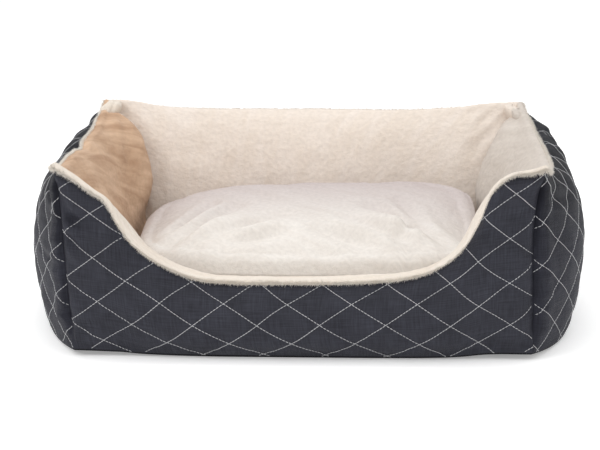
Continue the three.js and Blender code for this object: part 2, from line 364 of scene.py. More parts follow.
def face_grid(w, face, columns, rows):
    """A grid on a wall's face with its normals, its inward ties and its flat coordinates."""
    s = np.linspace(-1, 1, columns + 1)
    v = np.linspace(0, 1, 161)
    fine = wall_face(w, face, s[:, None], v[None, :])
    arc = np.linalg.norm(np.diff(fine, axis=1), axis=2).cumsum(1)
    arc = np.concatenate([np.zeros((len(s), 1)), arc], axis=1)
    share = np.linspace(0, 1, rows + 1)
    even = np.stack([np.interp(share * a[-1], a, v) for a in arc], axis=1)
    points = wall_face(w, face, s[None, :], even)
    other = wall_face(w, "inner" if face == "outer" else "outer", s[None, :], even)
    tie = other - points
    tie /= np.linalg.norm(tie, axis=2, keepdims=True)
    level = np.array([np.interp(LATTICE_LEVEL, z, run) for z, run in zip(fine[..., 2], arc)])
    line = np.array([[np.interp(up, run, side[:, axis]) for axis in range(3)]
                     for up, run, side in zip(level, arc, fine)])
    if face == "inner":
        line = points[(rows + 1) // 2]
    a = np.concatenate([[0], np.linalg.norm(np.diff(line, axis=0), axis=1).cumsum()])
    a -= np.interp(0, s, a)
    return SimpleNamespace(
        level=level - np.interp(0, s, level), s=s, points=points, tie=tie,
        normal=grid_normals(points, -tie), a=np.broadcast_to(a, points.shape[:2]).copy(),
        b=share[:, None] * arc[:, -1][None, :], length=arc[:, -1],
    )


def grid_normals(points, towards):
    """Unit normals of a grid of points, all on the side that towards points to on the whole."""
    normal = np.cross(np.gradient(points, axis=1), np.gradient(points, axis=0))
    normal /= np.maximum(np.linalg.norm(normal, axis=2, keepdims=True), 1e-12)
    return normal * math.copysign(1, (normal * towards).sum())


def sample(grid_values, rows, columns):
    """Values of a grid at fractional rows and columns."""
    r = np.clip(rows, 0, grid_values.shape[0] - 1.000001)
    c = np.clip(columns, 0, grid_values.shape[1] - 1.000001)
    r0, c0 = r.astype(int), c.astype(int)
    fr, fc = (r - r0)[..., None], (c - c0)[..., None]
    value = grid_values if grid_values.ndim == 3 else grid_values[..., None]
    return (
        value[r0, c0] * (1 - fr) * (1 - fc) + value[r0, c0 + 1] * (1 - fr) * fc
        + value[r0 + 1, c0] * fr * (1 - fc) + value[r0 + 1, c0 + 1] * fr * fc
    )


# %% [markdown]
# ## Building closed sheets
# A cloth has two faces and an edge. Closing each sheet round its edge keeps it a real solid, which
# shades properly at its rim and prints or exports without holes.


# %% Mesh helpers
def new_piece(name, points, faces, body, uv=None):
    """A smooth-shaded mesh object that rides on a CAD body. uv has one pair for each point."""
    mesh = bpy.data.meshes.new(name)
    mesh.from_pydata(np.asarray(points).tolist(), [], [list(map(int, f)) for f in faces])
    mesh.polygons.foreach_set("use_smooth", [True] * len(mesh.polygons))
    if uv is not None:
        layer = mesh.uv_layers.new(name="cloth")
        index = np.zeros(len(mesh.loops), int)
        mesh.loops.foreach_get("vertex_index", index)
        layer.uv.foreach_set("vector", np.asarray(uv, np.float32)[index].ravel())
    mesh.validate()
    piece = bpy.data.objects.new(name, mesh)
    bpy.context.scene.collection.objects.link(piece)
    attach(piece, body)
    return piece


def quads_between(first, second):
    """Quads from one row of point numbers to the next."""
    return np.stack([first[:-1], first[1:], second[1:], second[:-1]], axis=1)


def closed_sheet(name, outside, inside, body, flat):
    """A sheet from two grids of one size, closed round all four edges, with flat as its UVs."""
    rows, columns = outside.shape[:2]
    numbers = np.arange(rows * columns).reshape(rows, columns)
    under = numbers + rows * columns
    faces = []
    for r in range(rows - 1):
        faces.append(quads_between(numbers[r], numbers[r + 1]))
        faces.append(quads_between(under[r + 1], under[r]))
    rim = np.concatenate([numbers[0], numbers[1:, -1], numbers[-1, -2::-1], numbers[-2:0:-1, 0]])
    rim = np.append(rim, rim[0])
    faces.append(quads_between(rim + rows * columns, rim))
    faces = np.concatenate(faces)
    points = np.concatenate([outside.reshape(-1, 3), inside.reshape(-1, 3)])
    if signed_volume(points, faces) < 0:
        faces = faces[:, ::-1]
    uv = np.concatenate([flat.reshape(-1, 2)] * 2)
    return new_piece(name, points, faces, body, uv)


def signed_volume(points, quads):
    a, b, c, d = (points[quads[:, k]] for k in range(4))
    return (a * np.cross(b, c) + a * np.cross(c, d)).sum() / 6


# %% [markdown]
# ## Materials as cloth, not as paint
# Plush, nylon and thread each have a texture that shows only close up, and a broad unevenness that
# shows from far away. Effects that several materials share are node groups, built once with named
# sockets and placed in each material with its own values.


# %% Node helpers
def put(tree, kind, settings=None, **inputs):
    """Adds a node. A tuple of (node, socket name) links, and other values are set."""
    node = tree.nodes.new(kind)
    for name, value in (settings or {}).items():
        setattr(node, name, value)
    for name, value in inputs.items():
        socket = node.inputs[int(name[1:])] if name[0] == "_" else node.inputs[name.replace("_", " ")]
        if isinstance(value, tuple) and hasattr(value[0], "outputs"):
            tree.links.new(value[0].outputs[value[1]], socket)
        else:
            socket.default_value = value
    return node


def noise(tree, place, scale, detail, **more):
    return put(tree, "ShaderNodeTexNoise", Vector=place, Scale=scale, Detail=detail, **more), "Fac"


def maths(tree, operation, *values, **settings):
    """A math node; values go to its inputs in order."""
    inputs = {f"_{k}": value for k, value in enumerate(values)}
    return put(tree, "ShaderNodeMath", {"operation": operation, **settings}, **inputs), 0


def stretched(tree, place, *scales):
    """The coordinates multiplied by three scales."""
    return put(tree, "ShaderNodeVectorMath", {"operation": "MULTIPLY"}, _0=place, _1=scales), 0


def ranged(tree, value, first, last, low=0.0, high=1.0, **settings):
    """Takes the range first to last onto the range low to high."""
    return put(tree, "ShaderNodeMapRange", settings, Value=value, From_Min=first, From_Max=last,
               To_Min=low, To_Max=high), 0


def blended(tree, share, first, second, blend="MIX"):
    """A colour between first and second."""
    return put(tree, "ShaderNodeMix", {"data_type": "RGBA", "blend_type": blend},
               _0=share, _6=first, _7=second), 2


def give(tree, end, **values):
    """Links values to a group's outputs, or to a shader's inputs."""
    for name, (node, socket) in values.items():
        tree.links.new(node.outputs[socket], end.inputs[name.replace("_", " ")])


def new_group(name, inputs, outputs):
    """A node group with named sockets; each is (name, kind) or (name, kind, value)."""
    tree = bpy.data.node_groups.new(name, "ShaderNodeTree")
    for socket_name, kind, *value in inputs:
        socket = tree.interface.new_socket(socket_name, in_out="INPUT", socket_type="NodeSocket" + kind)
        if value:
            socket.default_value = value[0]
    for socket_name, kind in outputs:
        tree.interface.new_socket(socket_name, in_out="OUTPUT", socket_type="NodeSocket" + kind)
    return tree, tree.nodes.new("NodeGroupInput"), tree.nodes.new("NodeGroupOutput")


def linear(code):
    """A colour written as six hex digits, as Blender's linear red, green, blue and alpha."""
    parts = [int(code[k : k + 2], 16) / 255 for k in (0, 2, 4)]
    return (*(c / 12.92 if c < 0.04045 else ((c + 0.055) / 1.055) ** 2.4 for c in parts), 1.0)


# %% [markdown]
# ### Short pile
# Velvet-like plush is a field of fine hairs. They clump, and where a hand has brushed them they lie
# over and catch less light. Clumps, hair tips and long brushed streaks are three noises at three
# sizes. The coordinates are in metres, so the pile keeps its size on every piece.


# %% The pile group
def make_pile_group():
    tree, start, end = new_group(
        "Short Pile",
        [("Cloth Place", "Vector"), ("Brushing Angle", "Float", 0.0), ("Pile Colour", "Color"),
         ("Brushed Colour", "Color"), ("Brushing", "Float", 0.5)],
        [("Colour", "Color"), ("Height", "Float"), ("Roughness", "Float")],
    )
    place = (start, "Cloth Place")
    turned = put(tree, "ShaderNodeVectorRotate", {"rotation_type": "Z_AXIS"},
                 Vector=place, Angle=(start, "Brushing Angle"))
    streaks = noise(tree, stretched(tree, (turned, 0), 14.0, 75.0, 40.0), 1.0, 4.0, Distortion=0.7)
    clumps = noise(tree, place, 210.0, 3.0)
    tips = noise(tree, place, 950.0, 2.0)
    hand = noise(tree, place, 17.0, 2.0)
    lying = ranged(tree, streaks, 0.36, 0.66)
    stroke = ranged(tree, hand, 0.34, 0.68)
    nap = maths(tree, "MULTIPLY_ADD", stroke, 0.5, lying)
    amount = maths(tree, "MULTIPLY", nap, (start, "Brushing"))
    base = blended(tree, amount, (start, "Pile Colour"), (start, "Brushed Colour"))
    speck = ranged(tree, clumps, 0.3, 0.7, 0.93, 1.04)
    shaded = put(tree, "ShaderNodeVectorMath", {"operation": "SCALE"}, _0=base, Scale=speck)
    height = maths(tree, "MULTIPLY_ADD", tips, 0.45, clumps)
    tall = maths(tree, "MULTIPLY_ADD", streaks, 0.4, height)
    give(tree, end, Colour=(shaded, 0), Height=tall, Roughness=ranged(tree, streaks, 0.0, 1.0, 0.97, 0.82))
    return tree


SHORT_PILE = make_pile_group()

# %% [markdown]
# ### Woven nylon
# The outside is a thin plain-weave nylon. Two waves at right angles make the threads, and a long
# thin noise makes slubs, the threads that are a little thicker than their neighbours. Nylon stays
# smooth on top of its threads, so the slubs change its gloss too.


# %% The weave group
def make_weave_group():
    tree, start, end = new_group(
        "Plain Weave",
        [("Cloth Place", "Vector"), ("Threads per Metre", "Float", 1400.0), ("Thread Colour", "Color"),
         ("Worn Colour", "Color"), ("Slub", "Float", 0.5)],
        [("Colour", "Color"), ("Height", "Float"), ("Roughness", "Float")],
    )
    place = (start, "Cloth Place")
    waves = []
    for direction in ("X", "Y"):
        waves.append(put(
            tree, "ShaderNodeTexWave", {"bands_direction": direction},
            Vector=place, Scale=(start, "Threads per Metre"), Distortion=1.2, Detail=1.0))
    threads = maths(tree, "MULTIPLY", (waves[0], "Fac"), (waves[1], "Fac"))
    slubs = noise(tree, stretched(tree, place, 35.0, 900.0, 35.0), 1.0, 3.0)
    warp = noise(tree, stretched(tree, place, 700.0, 50.0, 35.0), 1.0, 2.0)
    both = maths(tree, "ADD", slubs, warp)
    wear = ranged(tree, noise(tree, place, 30.0, 3.0), 0.4, 0.72, 0.0, 0.7)
    mixed = maths(tree, "MULTIPLY", ranged(tree, both, 0.7, 1.3), (start, "Slub"))
    share = maths(tree, "MULTIPLY_ADD", wear, 0.35, mixed, use_clamp=True)
    give(tree, end, Colour=blended(tree, share, (start, "Thread Colour"), (start, "Worn Colour")),
         Height=maths(tree, "MULTIPLY_ADD", both, 0.6, threads),
         Roughness=ranged(tree, both, 0.7, 1.3, 0.66, 0.5))
    return tree


PLAIN_WEAVE = make_weave_group()


# %% [markdown]
# ### One material for each finish
# The groups give colour, height and roughness. Each material adds its own shader: sheen makes the
# pale glow of pile at a grazing angle, and nylon gets a weak, wide gloss instead.


# %% Material makers
def cloth_place(tree):
    return put(tree, "ShaderNodeUVMap", {"uv_map": "cloth"}), "UV"


def finish_from_group(name, group, values, bump, sheen=0.0, sheen_roughness=0.4, gloss=0.5):
    """A material whose colour, roughness and bump come from one of the groups."""
    material = bpy.data.materials.new(name)
    material.use_nodes = True
    tree = material.node_tree
    shader = tree.nodes["Principled BSDF"]
    texture = tree.nodes.new("ShaderNodeGroup")
    texture.node_tree = group
    place = cloth_place(tree)
    tree.links.new(place[0].outputs[place[1]], texture.inputs["Cloth Place"])
    for socket, value in values.items():
        texture.inputs[socket].default_value = value
    relief = put(tree, "ShaderNodeBump", Height=(texture, "Height"), Strength=bump[0], Distance=bump[1])
    give(tree, shader, Base_Color=(texture, "Colour"), Roughness=(texture, "Roughness"), Normal=(relief, 0))
    shader.inputs["Sheen Weight"].default_value = sheen
    shader.inputs["Sheen Roughness"].default_value = sheen_roughness
    shader.inputs["Specular IOR Level"].default_value = gloss
    return material


# %% Plush finishes
def plush(name, pile, brushed, brushing, angle, sheen=0.15):
    return finish_from_group(
        name, SHORT_PILE,
        {"Pile Colour": linear(pile), "Brushed Colour": linear(brushed), "Brushing": brushing,
         "Brushing Angle": angle},
        bump=(0.55, 0.0016), sheen=sheen, sheen_roughness=0.45, gloss=0.15,
    )


# The walls are one plush. Each wall's colours are set to the light that falls on it, so these are lit and
# shaded copies of one cloth.
PLUSH = {
    "front": plush("plush_front_wall", "e4dbd0", "d6c6b4", 0.35, 0.3),
    "back": plush("plush_back_wall", "e6dbd1", "dccebf", 0.4, 1.3),
    # Painted shade: the left wall's tan pile and darker brushed colour stand in for the shade on a wall
    # that faces away from the key lamp.
    "left": plush("plush_left_wall_painted_shade", "d4b599", "a9866a", 0.65, -0.45, sheen=0.1),
    "right": plush("plush_right_wall", "d0c7be", "bdb3a9", 0.45, 0.5),
    "floor": plush("plush_floor", "e0d5c9", "cdbcab", 0.5, 0.2),
    "cushion": plush("plush_cushion_painted_shade", "e2ddd7", "d6cec6", 0.35, 0.6),
    "lip": plush("plush_lip_pile", "eee7dd", "e0d6c9", 0.35, 0.0, sheen=0.12),
}


def paint_shade_across(material, first, last, tint):
    """Paints shade on a cloth: its colour is multiplied by tint more and more from first to last, measured
    in metres across it.
    """
    tree = material.node_tree
    texture = next(n for n in tree.nodes if n.type == "GROUP")
    across = put(tree, "ShaderNodeSeparateXYZ", Vector=cloth_place(tree))
    share = ranged(tree, (across, "Y"), first, last, interpolation_type="SMOOTHSTEP")
    shaded_colour = blended(tree, share, (texture, "Colour"), linear(tint), "MULTIPLY")
    give(tree, tree.nodes["Principled BSDF"], Base_Color=shaded_colour)


# Painted shade: the back of the cushion is darkened to a lilac grey, standing in for the shade it lies in.
paint_shade_across(PLUSH["cushion"], -0.10, 0.12, "dbd4d8")

# %% Nylon, thread, wadding and underside cloth
def woven(name, threads, thread, worn, slub, bump, **shader):
    return finish_from_group(
        name, PLAIN_WEAVE,
        {"Threads per Metre": threads, "Thread Colour": linear(thread), "Worn Colour": linear(worn),
         "Slub": slub},
        bump=bump, **shader,
    )


NYLON = woven("black_quilted_nylon", 1100.0, "26262c", "3e3f48", 0.55, (0.35, 0.0005), gloss=0.13)
# Painted shade: the side panels are a darker copy of the front nylon, and the call below darkens them
# further towards the rim, standing in for the dimmer light on the sides.
SHADED_SIDE_NYLON = woven("black_side_nylon_painted_shade", 1100.0, "1f1f26", "33343e", 0.55, (0.35, 0.0005), gloss=0.13)
paint_shade_across(SHADED_SIDE_NYLON, 0.09, 0.18, "a6a6ae")
THREAD = woven("pale_grey_thread", 2600.0, "b0b0b2", "d2d2d3", 0.5, (0.4, 0.0002), sheen=0.1, gloss=0.4)
GRIP_CLOTH = woven("underside_cloth", 900.0, "17171a", "2b2b30", 0.5, (0.5, 0.0006), gloss=0.2)
GRIP_DOT = woven("rubber_grip_dots", 3000.0, "202024", "2c2c31", 0.3, (0.2, 0.0002), gloss=0.5)
WADDING = finish_from_group(
    "fibre_wadding", SHORT_PILE,
    {"Pile Colour": linear("f2f1ee"), "Brushed Colour": linear("dddbd6"), "Brushing": 0.6},
    bump=(0.8, 0.003), sheen=0.3, gloss=0.1,
)


def cover_with(piece, material):
    piece.data.materials.append(material)


# %% [markdown]
# ## The quilted outside
# A quilting machine sews two families of straight lines, which cross in long diamonds. The thread
# pulls the cloth down and the wadding lifts it between the lines. Near the corners the cloth is
# gathered into the seam, so it pinches and puckers there. All of this is real displacement, because
# the outline of the bed shows it.

# %% The quilting lattice
DIAMOND_WIDTH = 0.0638
DIAMOND_HEIGHT = 0.0446
LINE_SPACING = DIAMOND_WIDTH * DIAMOND_HEIGHT / math.hypot(DIAMOND_WIDTH, DIAMOND_HEIGHT)
PUFF = 0.0016
PUFF_SOFTNESS = 0.007


def cloth_drift(a, b, seed):
    """How far the cloth has crept off its straight lines, along and up."""
    place = np.stack([a, b], -1)
    return soft_noise(place, 0.05, seed) * 0.0016, soft_noise(place, 0.045, seed + 1) * 0.0016


def lattice_numbers(a, b, start):
    along = (a - start[0]) / DIAMOND_WIDTH
    up = (b - start[1]) / DIAMOND_HEIGHT
    return along + up, along - up


def line_distance(number):
    return np.abs(number - np.round(number)) * LINE_SPACING


# %% Creases and gathers
def crease(a, b, start, end, depth, width):
    """A pinched fold: how far the cloth sinks near a straight line, with raised banks beside it."""
    start, end = np.array(start), np.array(end)
    line = end - start
    length = np.linalg.norm(line)
    da, db = a - start[0], b - start[1]
    t = np.clip((da * line[0] + db * line[1]) / length**2, 0, 1)
    near = np.hypot(da - t * line[0], db - t * line[1]) / width
    taper = np.sin(np.pi * (0.12 + 0.76 * t))
    return depth * taper * (0.45 * np.exp(-((near - 1.6) ** 2)) - np.exp(-(near**2)))


def gathers(edge, b, reach, height, step, seed):
    """Small folds that run out from a seam and die away over reach."""
    wave = soft_noise(np.stack([edge / (step * 5), b / step + edge / (step * 7)], -1), 1.0, seed)
    fine = soft_noise(np.stack([edge / (step * 3), b / (step * 0.45)], -1), 1.0, seed + 5)
    return (wave + 0.35 * fine) * height * np.exp(-edge / reach)


def cloth_place_of(g, s, v):
    """Flat coordinates of a place given by its share along the wall and up its face."""
    return float(np.interp(s, g.s, g.a[0])), float(v * np.interp(s, g.s, g.length))


# %% [markdown]
# The four panels share one recipe and differ in numbers: where the lattice starts, how strongly
# each end is gathered, and the few folds that stuffing has pressed into them.

# %% Panel recipe
PANELS = {
    "front": SimpleNamespace(start=(0.0243, None), shoulder=(), step=0.012,
                             first=(0.030, 0.0027), last=(0.028, 0.0020),
                             folds=(((-0.97, 0.74), (-0.84, 0.80), 0.0048, 0.0060),
                                    ((-0.985, 0.82), (-0.90, 0.70), 0.0052, 0.0062),
                                    ((-0.98, 0.66), (-0.91, 0.60), 0.0035, 0.0050),
                                    ((-0.95, 0.12), (-0.86, 0.20), 0.0020, 0.006),
                                    ((0.97, 0.80), (0.88, 0.70), 0.0022, 0.006),
                                    ((0.96, 0.52), (0.87, 0.47), 0.0016, 0.005))),
    "right": SimpleNamespace(start=(0.006, 0.031), step=0.009,
                             shoulder=((0.30, 0.006, 0.35), (0.68, 0.013, 0.20), (0.90, 0.009, 0.12)),
                             first=(0.034, 0.0020), last=(0.100, 0.0040),
                             folds=(((0.2, 0.93), (0.85, 0.84), 0.0030, 0.006),
                                    ((0.1, 0.80), (0.9, 0.72), 0.0026, 0.006),
                                    ((-0.9, 0.86), (-0.55, 0.80), 0.0022, 0.006))),
    "back": SimpleNamespace(start=(0.0, 0.012), shoulder=(), step=0.011,
                            first=(0.032, 0.0020), last=(0.032, 0.0020),
                            folds=(((-0.95, 0.78), (-0.80, 0.70), 0.0028, 0.006),
                                   ((0.95, 0.80), (0.82, 0.69), 0.0026, 0.006))),
    "left": SimpleNamespace(start=(0.016, 0.020), step=0.009,
                            shoulder=((-0.5, 0.006, 0.32), (-0.88, 0.012, 0.14)),
                            first=(0.060, 0.0026), last=(0.040, 0.0028),
                            folds=(((0.62, 0.90), (0.93, 0.80), 0.0030, 0.006),
                                   ((-0.85, 0.88), (-0.30, 0.82), 0.0024, 0.006),
                                   ((0.70, 0.52), (0.96, 0.47), 0.0018, 0.005))),
}
TUCK_DEPTH = 0.0018
NYLON_THICKNESS = 0.0019
SEAM_SINK = 0.0070


def quilted_surface(g, recipe, seed):
    """The outside of a quilted panel as a grid of points."""
    drift_a, drift_b = cloth_drift(g.a, g.b, seed)
    first, second = lattice_numbers(g.a - drift_a, g.b - g.level - drift_b, recipe.start)
    d1, d2 = line_distance(first), line_distance(second)
    lift = PUFF * (1 - np.exp(-d1 / PUFF_SOFTNESS)) * (1 - np.exp(-d2 / PUFF_SOFTNESS)) - PUFF * 0.75
    near = np.exp(-np.minimum(d1, d2) / 0.005)
    place = np.stack([g.a, g.b], -1)
    lift += near * soft_noise(place, 0.006, seed + 2) * 0.00045
    lift += soft_noise(place, 0.035, seed + 3) * 0.0010
    to_first = g.a - g.a[:, :1]
    to_last = g.a[:, -1:] - g.a
    lift += gathers(to_first, g.b, *recipe.first, recipe.step, seed + 11)
    lift += gathers(to_last, g.b, *recipe.last, recipe.step, seed + 12)
    for start, end, depth, width in recipe.folds:
        lift += crease(g.a, g.b, cloth_place_of(g, *start), cloth_place_of(g, *end), depth, width)
    edge = np.minimum(to_first, to_last)
    lift *= smooth_step(edge, 0, 0.006) * smooth_step(g.length - g.b, TUCK_DEPTH, 0.02)
    lift *= smooth_step(g.b, 0, 0.01)
    s, v = np.broadcast_arrays(g.s[None, :], g.b / g.length[None, :])
    for centre, size, spread in recipe.shoulder:
        raised = size * np.exp(-(((s - centre) / spread) ** 2) - ((v - 0.88) / 0.12) ** 2)
        lift += raised * smooth_step(g.length - g.b, TUCK_DEPTH, 0.009) * smooth_step(edge, 0, 0.012)
    banks = 0.0022 * np.exp(-(((edge - 0.019) / 0.011) ** 2)) * smooth_step(g.b, 0, 0.03)
    lift += banks * smooth_step(g.length - g.b, 0.003, 0.016)
    sink = SEAM_SINK * np.exp(-((edge / 0.0045) ** 2)) * smooth_step(g.b, 0, 0.03)
    sink *= smooth_step(g.length - g.b, 0.004, 0.03)
    under_lip = smooth_step(g.b, g.length - 0.014, g.length - 0.005)
    sink += (0.0008 + 0.0016 * smooth_step(np.abs(s), 0.8, 0.97)) * under_lip
    return g.points + g.normal * lift[..., None] + g.tie * sink[..., None]


# %% [markdown]
# ### Stitches
# Each stitch is a small spindle of thread with its ends sunk in the cloth. A row of spindles reads
# as sewing from any distance, which a painted line doesn't.

# %% Stitch builder
STITCH_STEP = 0.0036
STITCH_LENGTH = 0.0031
STITCH_RADIUS = 0.00034
SPINDLE = ((-0.5, 0.45), (-0.22, 1.0), (0.22, 1.0), (0.5, 0.45))
SPINDLE_SIDES = 6


def lattice_points(g, recipe, seed):
    """Middles of all stitches on one panel, as flat coordinates with their line's direction."""
    half_step = STITCH_STEP / math.hypot(DIAMOND_WIDTH, DIAMOND_HEIGHT)
    t = np.arange(-9, 9, half_step)
    rows = []
    for k in range(-14, 15):
        for sign in (1, -1):
            a = recipe.start[0] + DIAMOND_WIDTH * (k / 2 + t)
            b = recipe.start[1] + DIAMOND_HEIGHT * (k / 2 - t) * sign
            rows.append(np.stack([a, b, np.full_like(a, -sign)], -1))
    found = np.concatenate(rows)
    drift_a, drift_b = cloth_drift(found[:, 0], found[:, 1], seed)
    found[:, 0] += drift_a
    found[:, 1] += drift_b + np.interp(found[:, 0], g.a[0], g.level)
    top = np.interp(found[:, 0], g.a[0], g.length)
    inside = (found[:, 0] > g.a[0, 0] + 0.0008) & (found[:, 0] < g.a[0, -1] - 0.0008)
    inside &= (found[:, 1] > 0.001) & (found[:, 1] < top - 0.002)
    return found[inside]


def on_cloth(g, surface, a, b):
    """Points and normals of a displaced panel at flat coordinates."""
    column = np.interp(a, g.a[0], np.arange(len(g.s)))
    top = np.interp(a, g.a[0], g.b[-1])
    row = b / top * (surface.shape[0] - 1)
    normal = grid_normals(surface, g.normal)
    return sample(surface, row, column), sample(normal, row, column)


def spindles(middle, axis, normal, length, radius):
    """Closed six-sided spindles at the given places, as one list of points and faces."""
    side = np.cross(axis, normal)
    side /= np.linalg.norm(side, axis=1, keepdims=True)
    turn = np.arange(SPINDLE_SIDES) / SPINDLE_SIDES * 2 * np.pi
    points = []
    for place, width in SPINDLE:
        for angle in turn:
            ring = side * math.cos(angle) + normal * math.sin(angle)
            points.append(middle + axis * length * place + ring * radius * width)
    points = np.stack(points, 1).reshape(-1, 3)
    n = SPINDLE_SIDES
    one = [[r * n + k, r * n + (k + 1) % n, (r + 1) * n + (k + 1) % n, (r + 1) * n + k]
           for r in range(len(SPINDLE) - 1) for k in range(n)]
    caps = [list(range(n))[::-1], [3 * n + k for k in range(n)]]
    size = n * len(SPINDLE)
    faces = [[v + k * size for v in face] for k in range(len(middle)) for face in one + caps]
    return points, faces


def sew(name, g, surface, recipe, seed):
    """The quilting thread of one panel."""
    places = lattice_points(g, recipe, seed)
    a, b, sign = places.T
    half = STITCH_LENGTH / 2
    run = np.array([DIAMOND_WIDTH, DIAMOND_HEIGHT]) / math.hypot(DIAMOND_WIDTH, DIAMOND_HEIGHT)
    behind, _ = on_cloth(g, surface, a - run[0] * half, b - run[1] * sign * half)
    ahead, _ = on_cloth(g, surface, a + run[0] * half, b + run[1] * sign * half)
    middle, normal = on_cloth(g, surface, a, b)
    axis = ahead - behind
    axis /= np.maximum(np.linalg.norm(axis, axis=1, keepdims=True), 1e-9)
    middle = (middle + (ahead + behind) / 2) / 2 + normal * 0.00022
    points, faces = spindles(middle, axis, normal, STITCH_LENGTH, STITCH_RADIUS)
    per_stitch = SPINDLE_SIDES * len(SPINDLE)
    uv = np.repeat(np.stack([a, b], 1), per_stitch, axis=0)
    uv[:, 0] += np.tile(np.repeat([p for p, _ in SPINDLE], SPINDLE_SIDES), len(a)) * STITCH_LENGTH
    thread = new_piece(name, points, faces, "bed", uv)
    cover_with(thread, THREAD)
    print(name, len(a), "stitches")
    return thread


# %% Make the four outer panels
def fine_grid(w, face, columns, rows, gap=0.0):
    """A face's grid that stops a gap below the rim."""
    g = face_grid(w, face, columns, rows)
    if gap:
        keep = 1 - gap / g.length
        rows_now = np.arange(rows + 1)[:, None] * keep[None, :]
        columns_now = np.broadcast_to(np.arange(columns + 1.0), rows_now.shape)
        for key in ("points", "tie", "normal"):
            setattr(g, key, sample(getattr(g, key), rows_now, columns_now))
        g.b = g.b * keep[None, :]
    return g


def cloth_area(g):
    """The flat area and the largest width and length of an unrolled face."""
    area = float(((g.b[-1, 1:] + g.b[-1, :-1]) / 2 * np.diff(g.a[0])).sum())
    return area, (float(g.a[0, -1] - g.a[0, 0]), float(g.b[-1].max()))


PANEL_COLUMNS = {"front": 330, "right": 260, "back": 330, "left": 260}
for seed, (name, w) in enumerate(WALLS.items()):
    g = fine_grid(w, "outer", PANEL_COLUMNS[name], 104, TUCK_DEPTH)
    recipe = PANELS[name]
    if recipe.start[1] is None:
        recipe.start = (recipe.start[0], float(np.interp(0, g.s, g.length)) - 0.0025)
    surface = quilted_surface(g, recipe, 100 * seed)
    flat = np.stack([g.a, g.b], -1)
    panel = closed_sheet(f"{name}_quilted_panel", surface, surface + g.tie * NYLON_THICKNESS, "bed", flat)
    # Painted shade: the left and right panels take the darker side nylon.
    cover_with(panel, SHADED_SIDE_NYLON if name in ("left", "right") else NYLON)
    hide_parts(f"{name}_outer_panel")
    thread = sew(f"{name}_quilting_thread", g, surface, recipe, 100 * seed)
    area, size = cloth_area(g)
    print(panel.name, "cut", [round(v, 3) for v in size], "area", round(area, 4))

# %% [markdown]
# ## The plush lining and its lip
# The lining is one cloth that comes up from the floor, rolls over the rim and is sewn to the nylon a
# few millimetres down the outside. Rolling the same cloth over, instead of adding a tube, keeps the
# pile running over the edge as it does on the real thing.

# %% The rolled lip
LINING_THICKNESS = 0.0042
LIP_ROWS = 12
LIP = SimpleNamespace(rise=0.0016, proud=0.0022, drop=0.0033)


def unit(v):
    return v / np.maximum(np.linalg.norm(v, axis=-1, keepdims=True), 1e-9)


def through(points, count):
    """Points of a smooth curve through a list of arrays of points, count steps in all."""
    spans = len(points) - 1
    padded = [2 * points[0] - points[1], *points, 2 * points[-1] - points[-2]]
    rows = []
    for value in np.linspace(0, spans, count + 1):
        k = min(int(value), spans - 1)
        t = value - k
        a, b, c, d = padded[k : k + 4]
        rows.append(0.5 * (2 * b + (c - a) * t + (2 * a - 5 * b + 4 * c - d) * t * t
                           + (3 * b - a - 3 * c + d) * t**3))
    return np.stack(rows)


def lip_section(w, s, fullness):
    """The visible face of the lip and its back, from the inner rim to the seam outside."""
    inner, outer = wall_face(w, "inner", s, 1.0), wall_face(w, "outer", s, 1.0)
    down = unit(wall_face(w, "outer", s, 0.96) - outer)
    out = unit(outer - inner)
    up = np.array([0.0, 0.0, 1.0])
    proud = up + out
    proud = unit(proud - (proud * down).sum(-1, keepdims=True) * down)
    full = fullness[:, None]
    drop = LIP.drop * (0.42 + 0.58 * full)
    face = through(
        [inner, inner * 0.6 + outer * 0.4 + up * LIP.rise * full,
         outer + proud * LIP.proud * full + down * 0.0006,
         outer + proud * LIP.proud * 0.75 * full + down * drop * 0.65,
         outer + proud * 0.0003 + down * drop], LIP_ROWS)
    back = through(
        [inner + out * LINING_THICKNESS, outer - out * 0.0022 + up * 0.0002,
         outer - out * 0.0004 + down * drop * 0.3, outer + proud * 0.0002 + down * drop * 0.65,
         outer + proud * 0.0001 + down * (drop - 0.0002)], LIP_ROWS)
    return face, back, unit(proud + up * 0.3), down


# %% [markdown]
# The stuffing makes the lining lumpy in a soft, broad way, and it gathers a little where two linings
# meet in a corner. The left and right walls each have a few pulled folds that run out of the corner.

# %% Lining recipe
LININGS = {
    "front": SimpleNamespace(lump=0.0012, cheek=(0.0, 0.5, 0.0), folds=()),
    "right": SimpleNamespace(lump=0.0014, cheek=(0.82, 0.66, 0.017),
                             folds=(((0.60, 0.93), (0.93, 0.97), 0.003, 0.008),)),
    "back": SimpleNamespace(lump=0.0018, cheek=(0.0, 0.6, 0.004),
                            folds=(((-0.97, 0.96), (-0.86, 0.70), 0.0028, 0.009),
                                   ((-0.90, 0.97), (-0.84, 0.84), 0.003, 0.006),
                                   ((0.97, 0.97), (0.90, 0.80), 0.0028, 0.009))),
    "left": SimpleNamespace(lump=0.0014, cheek=(-0.84, 0.68, 0.0255),
                            folds=(((-0.95, 0.95), (-0.55, 0.80), 0.0028, 0.007),
                                   ((-0.95, 0.86), (-0.45, 0.70), 0.0020, 0.008),
                                   ((-0.4, 0.72), (0.3, 0.55), 0.0012, 0.012))),
}


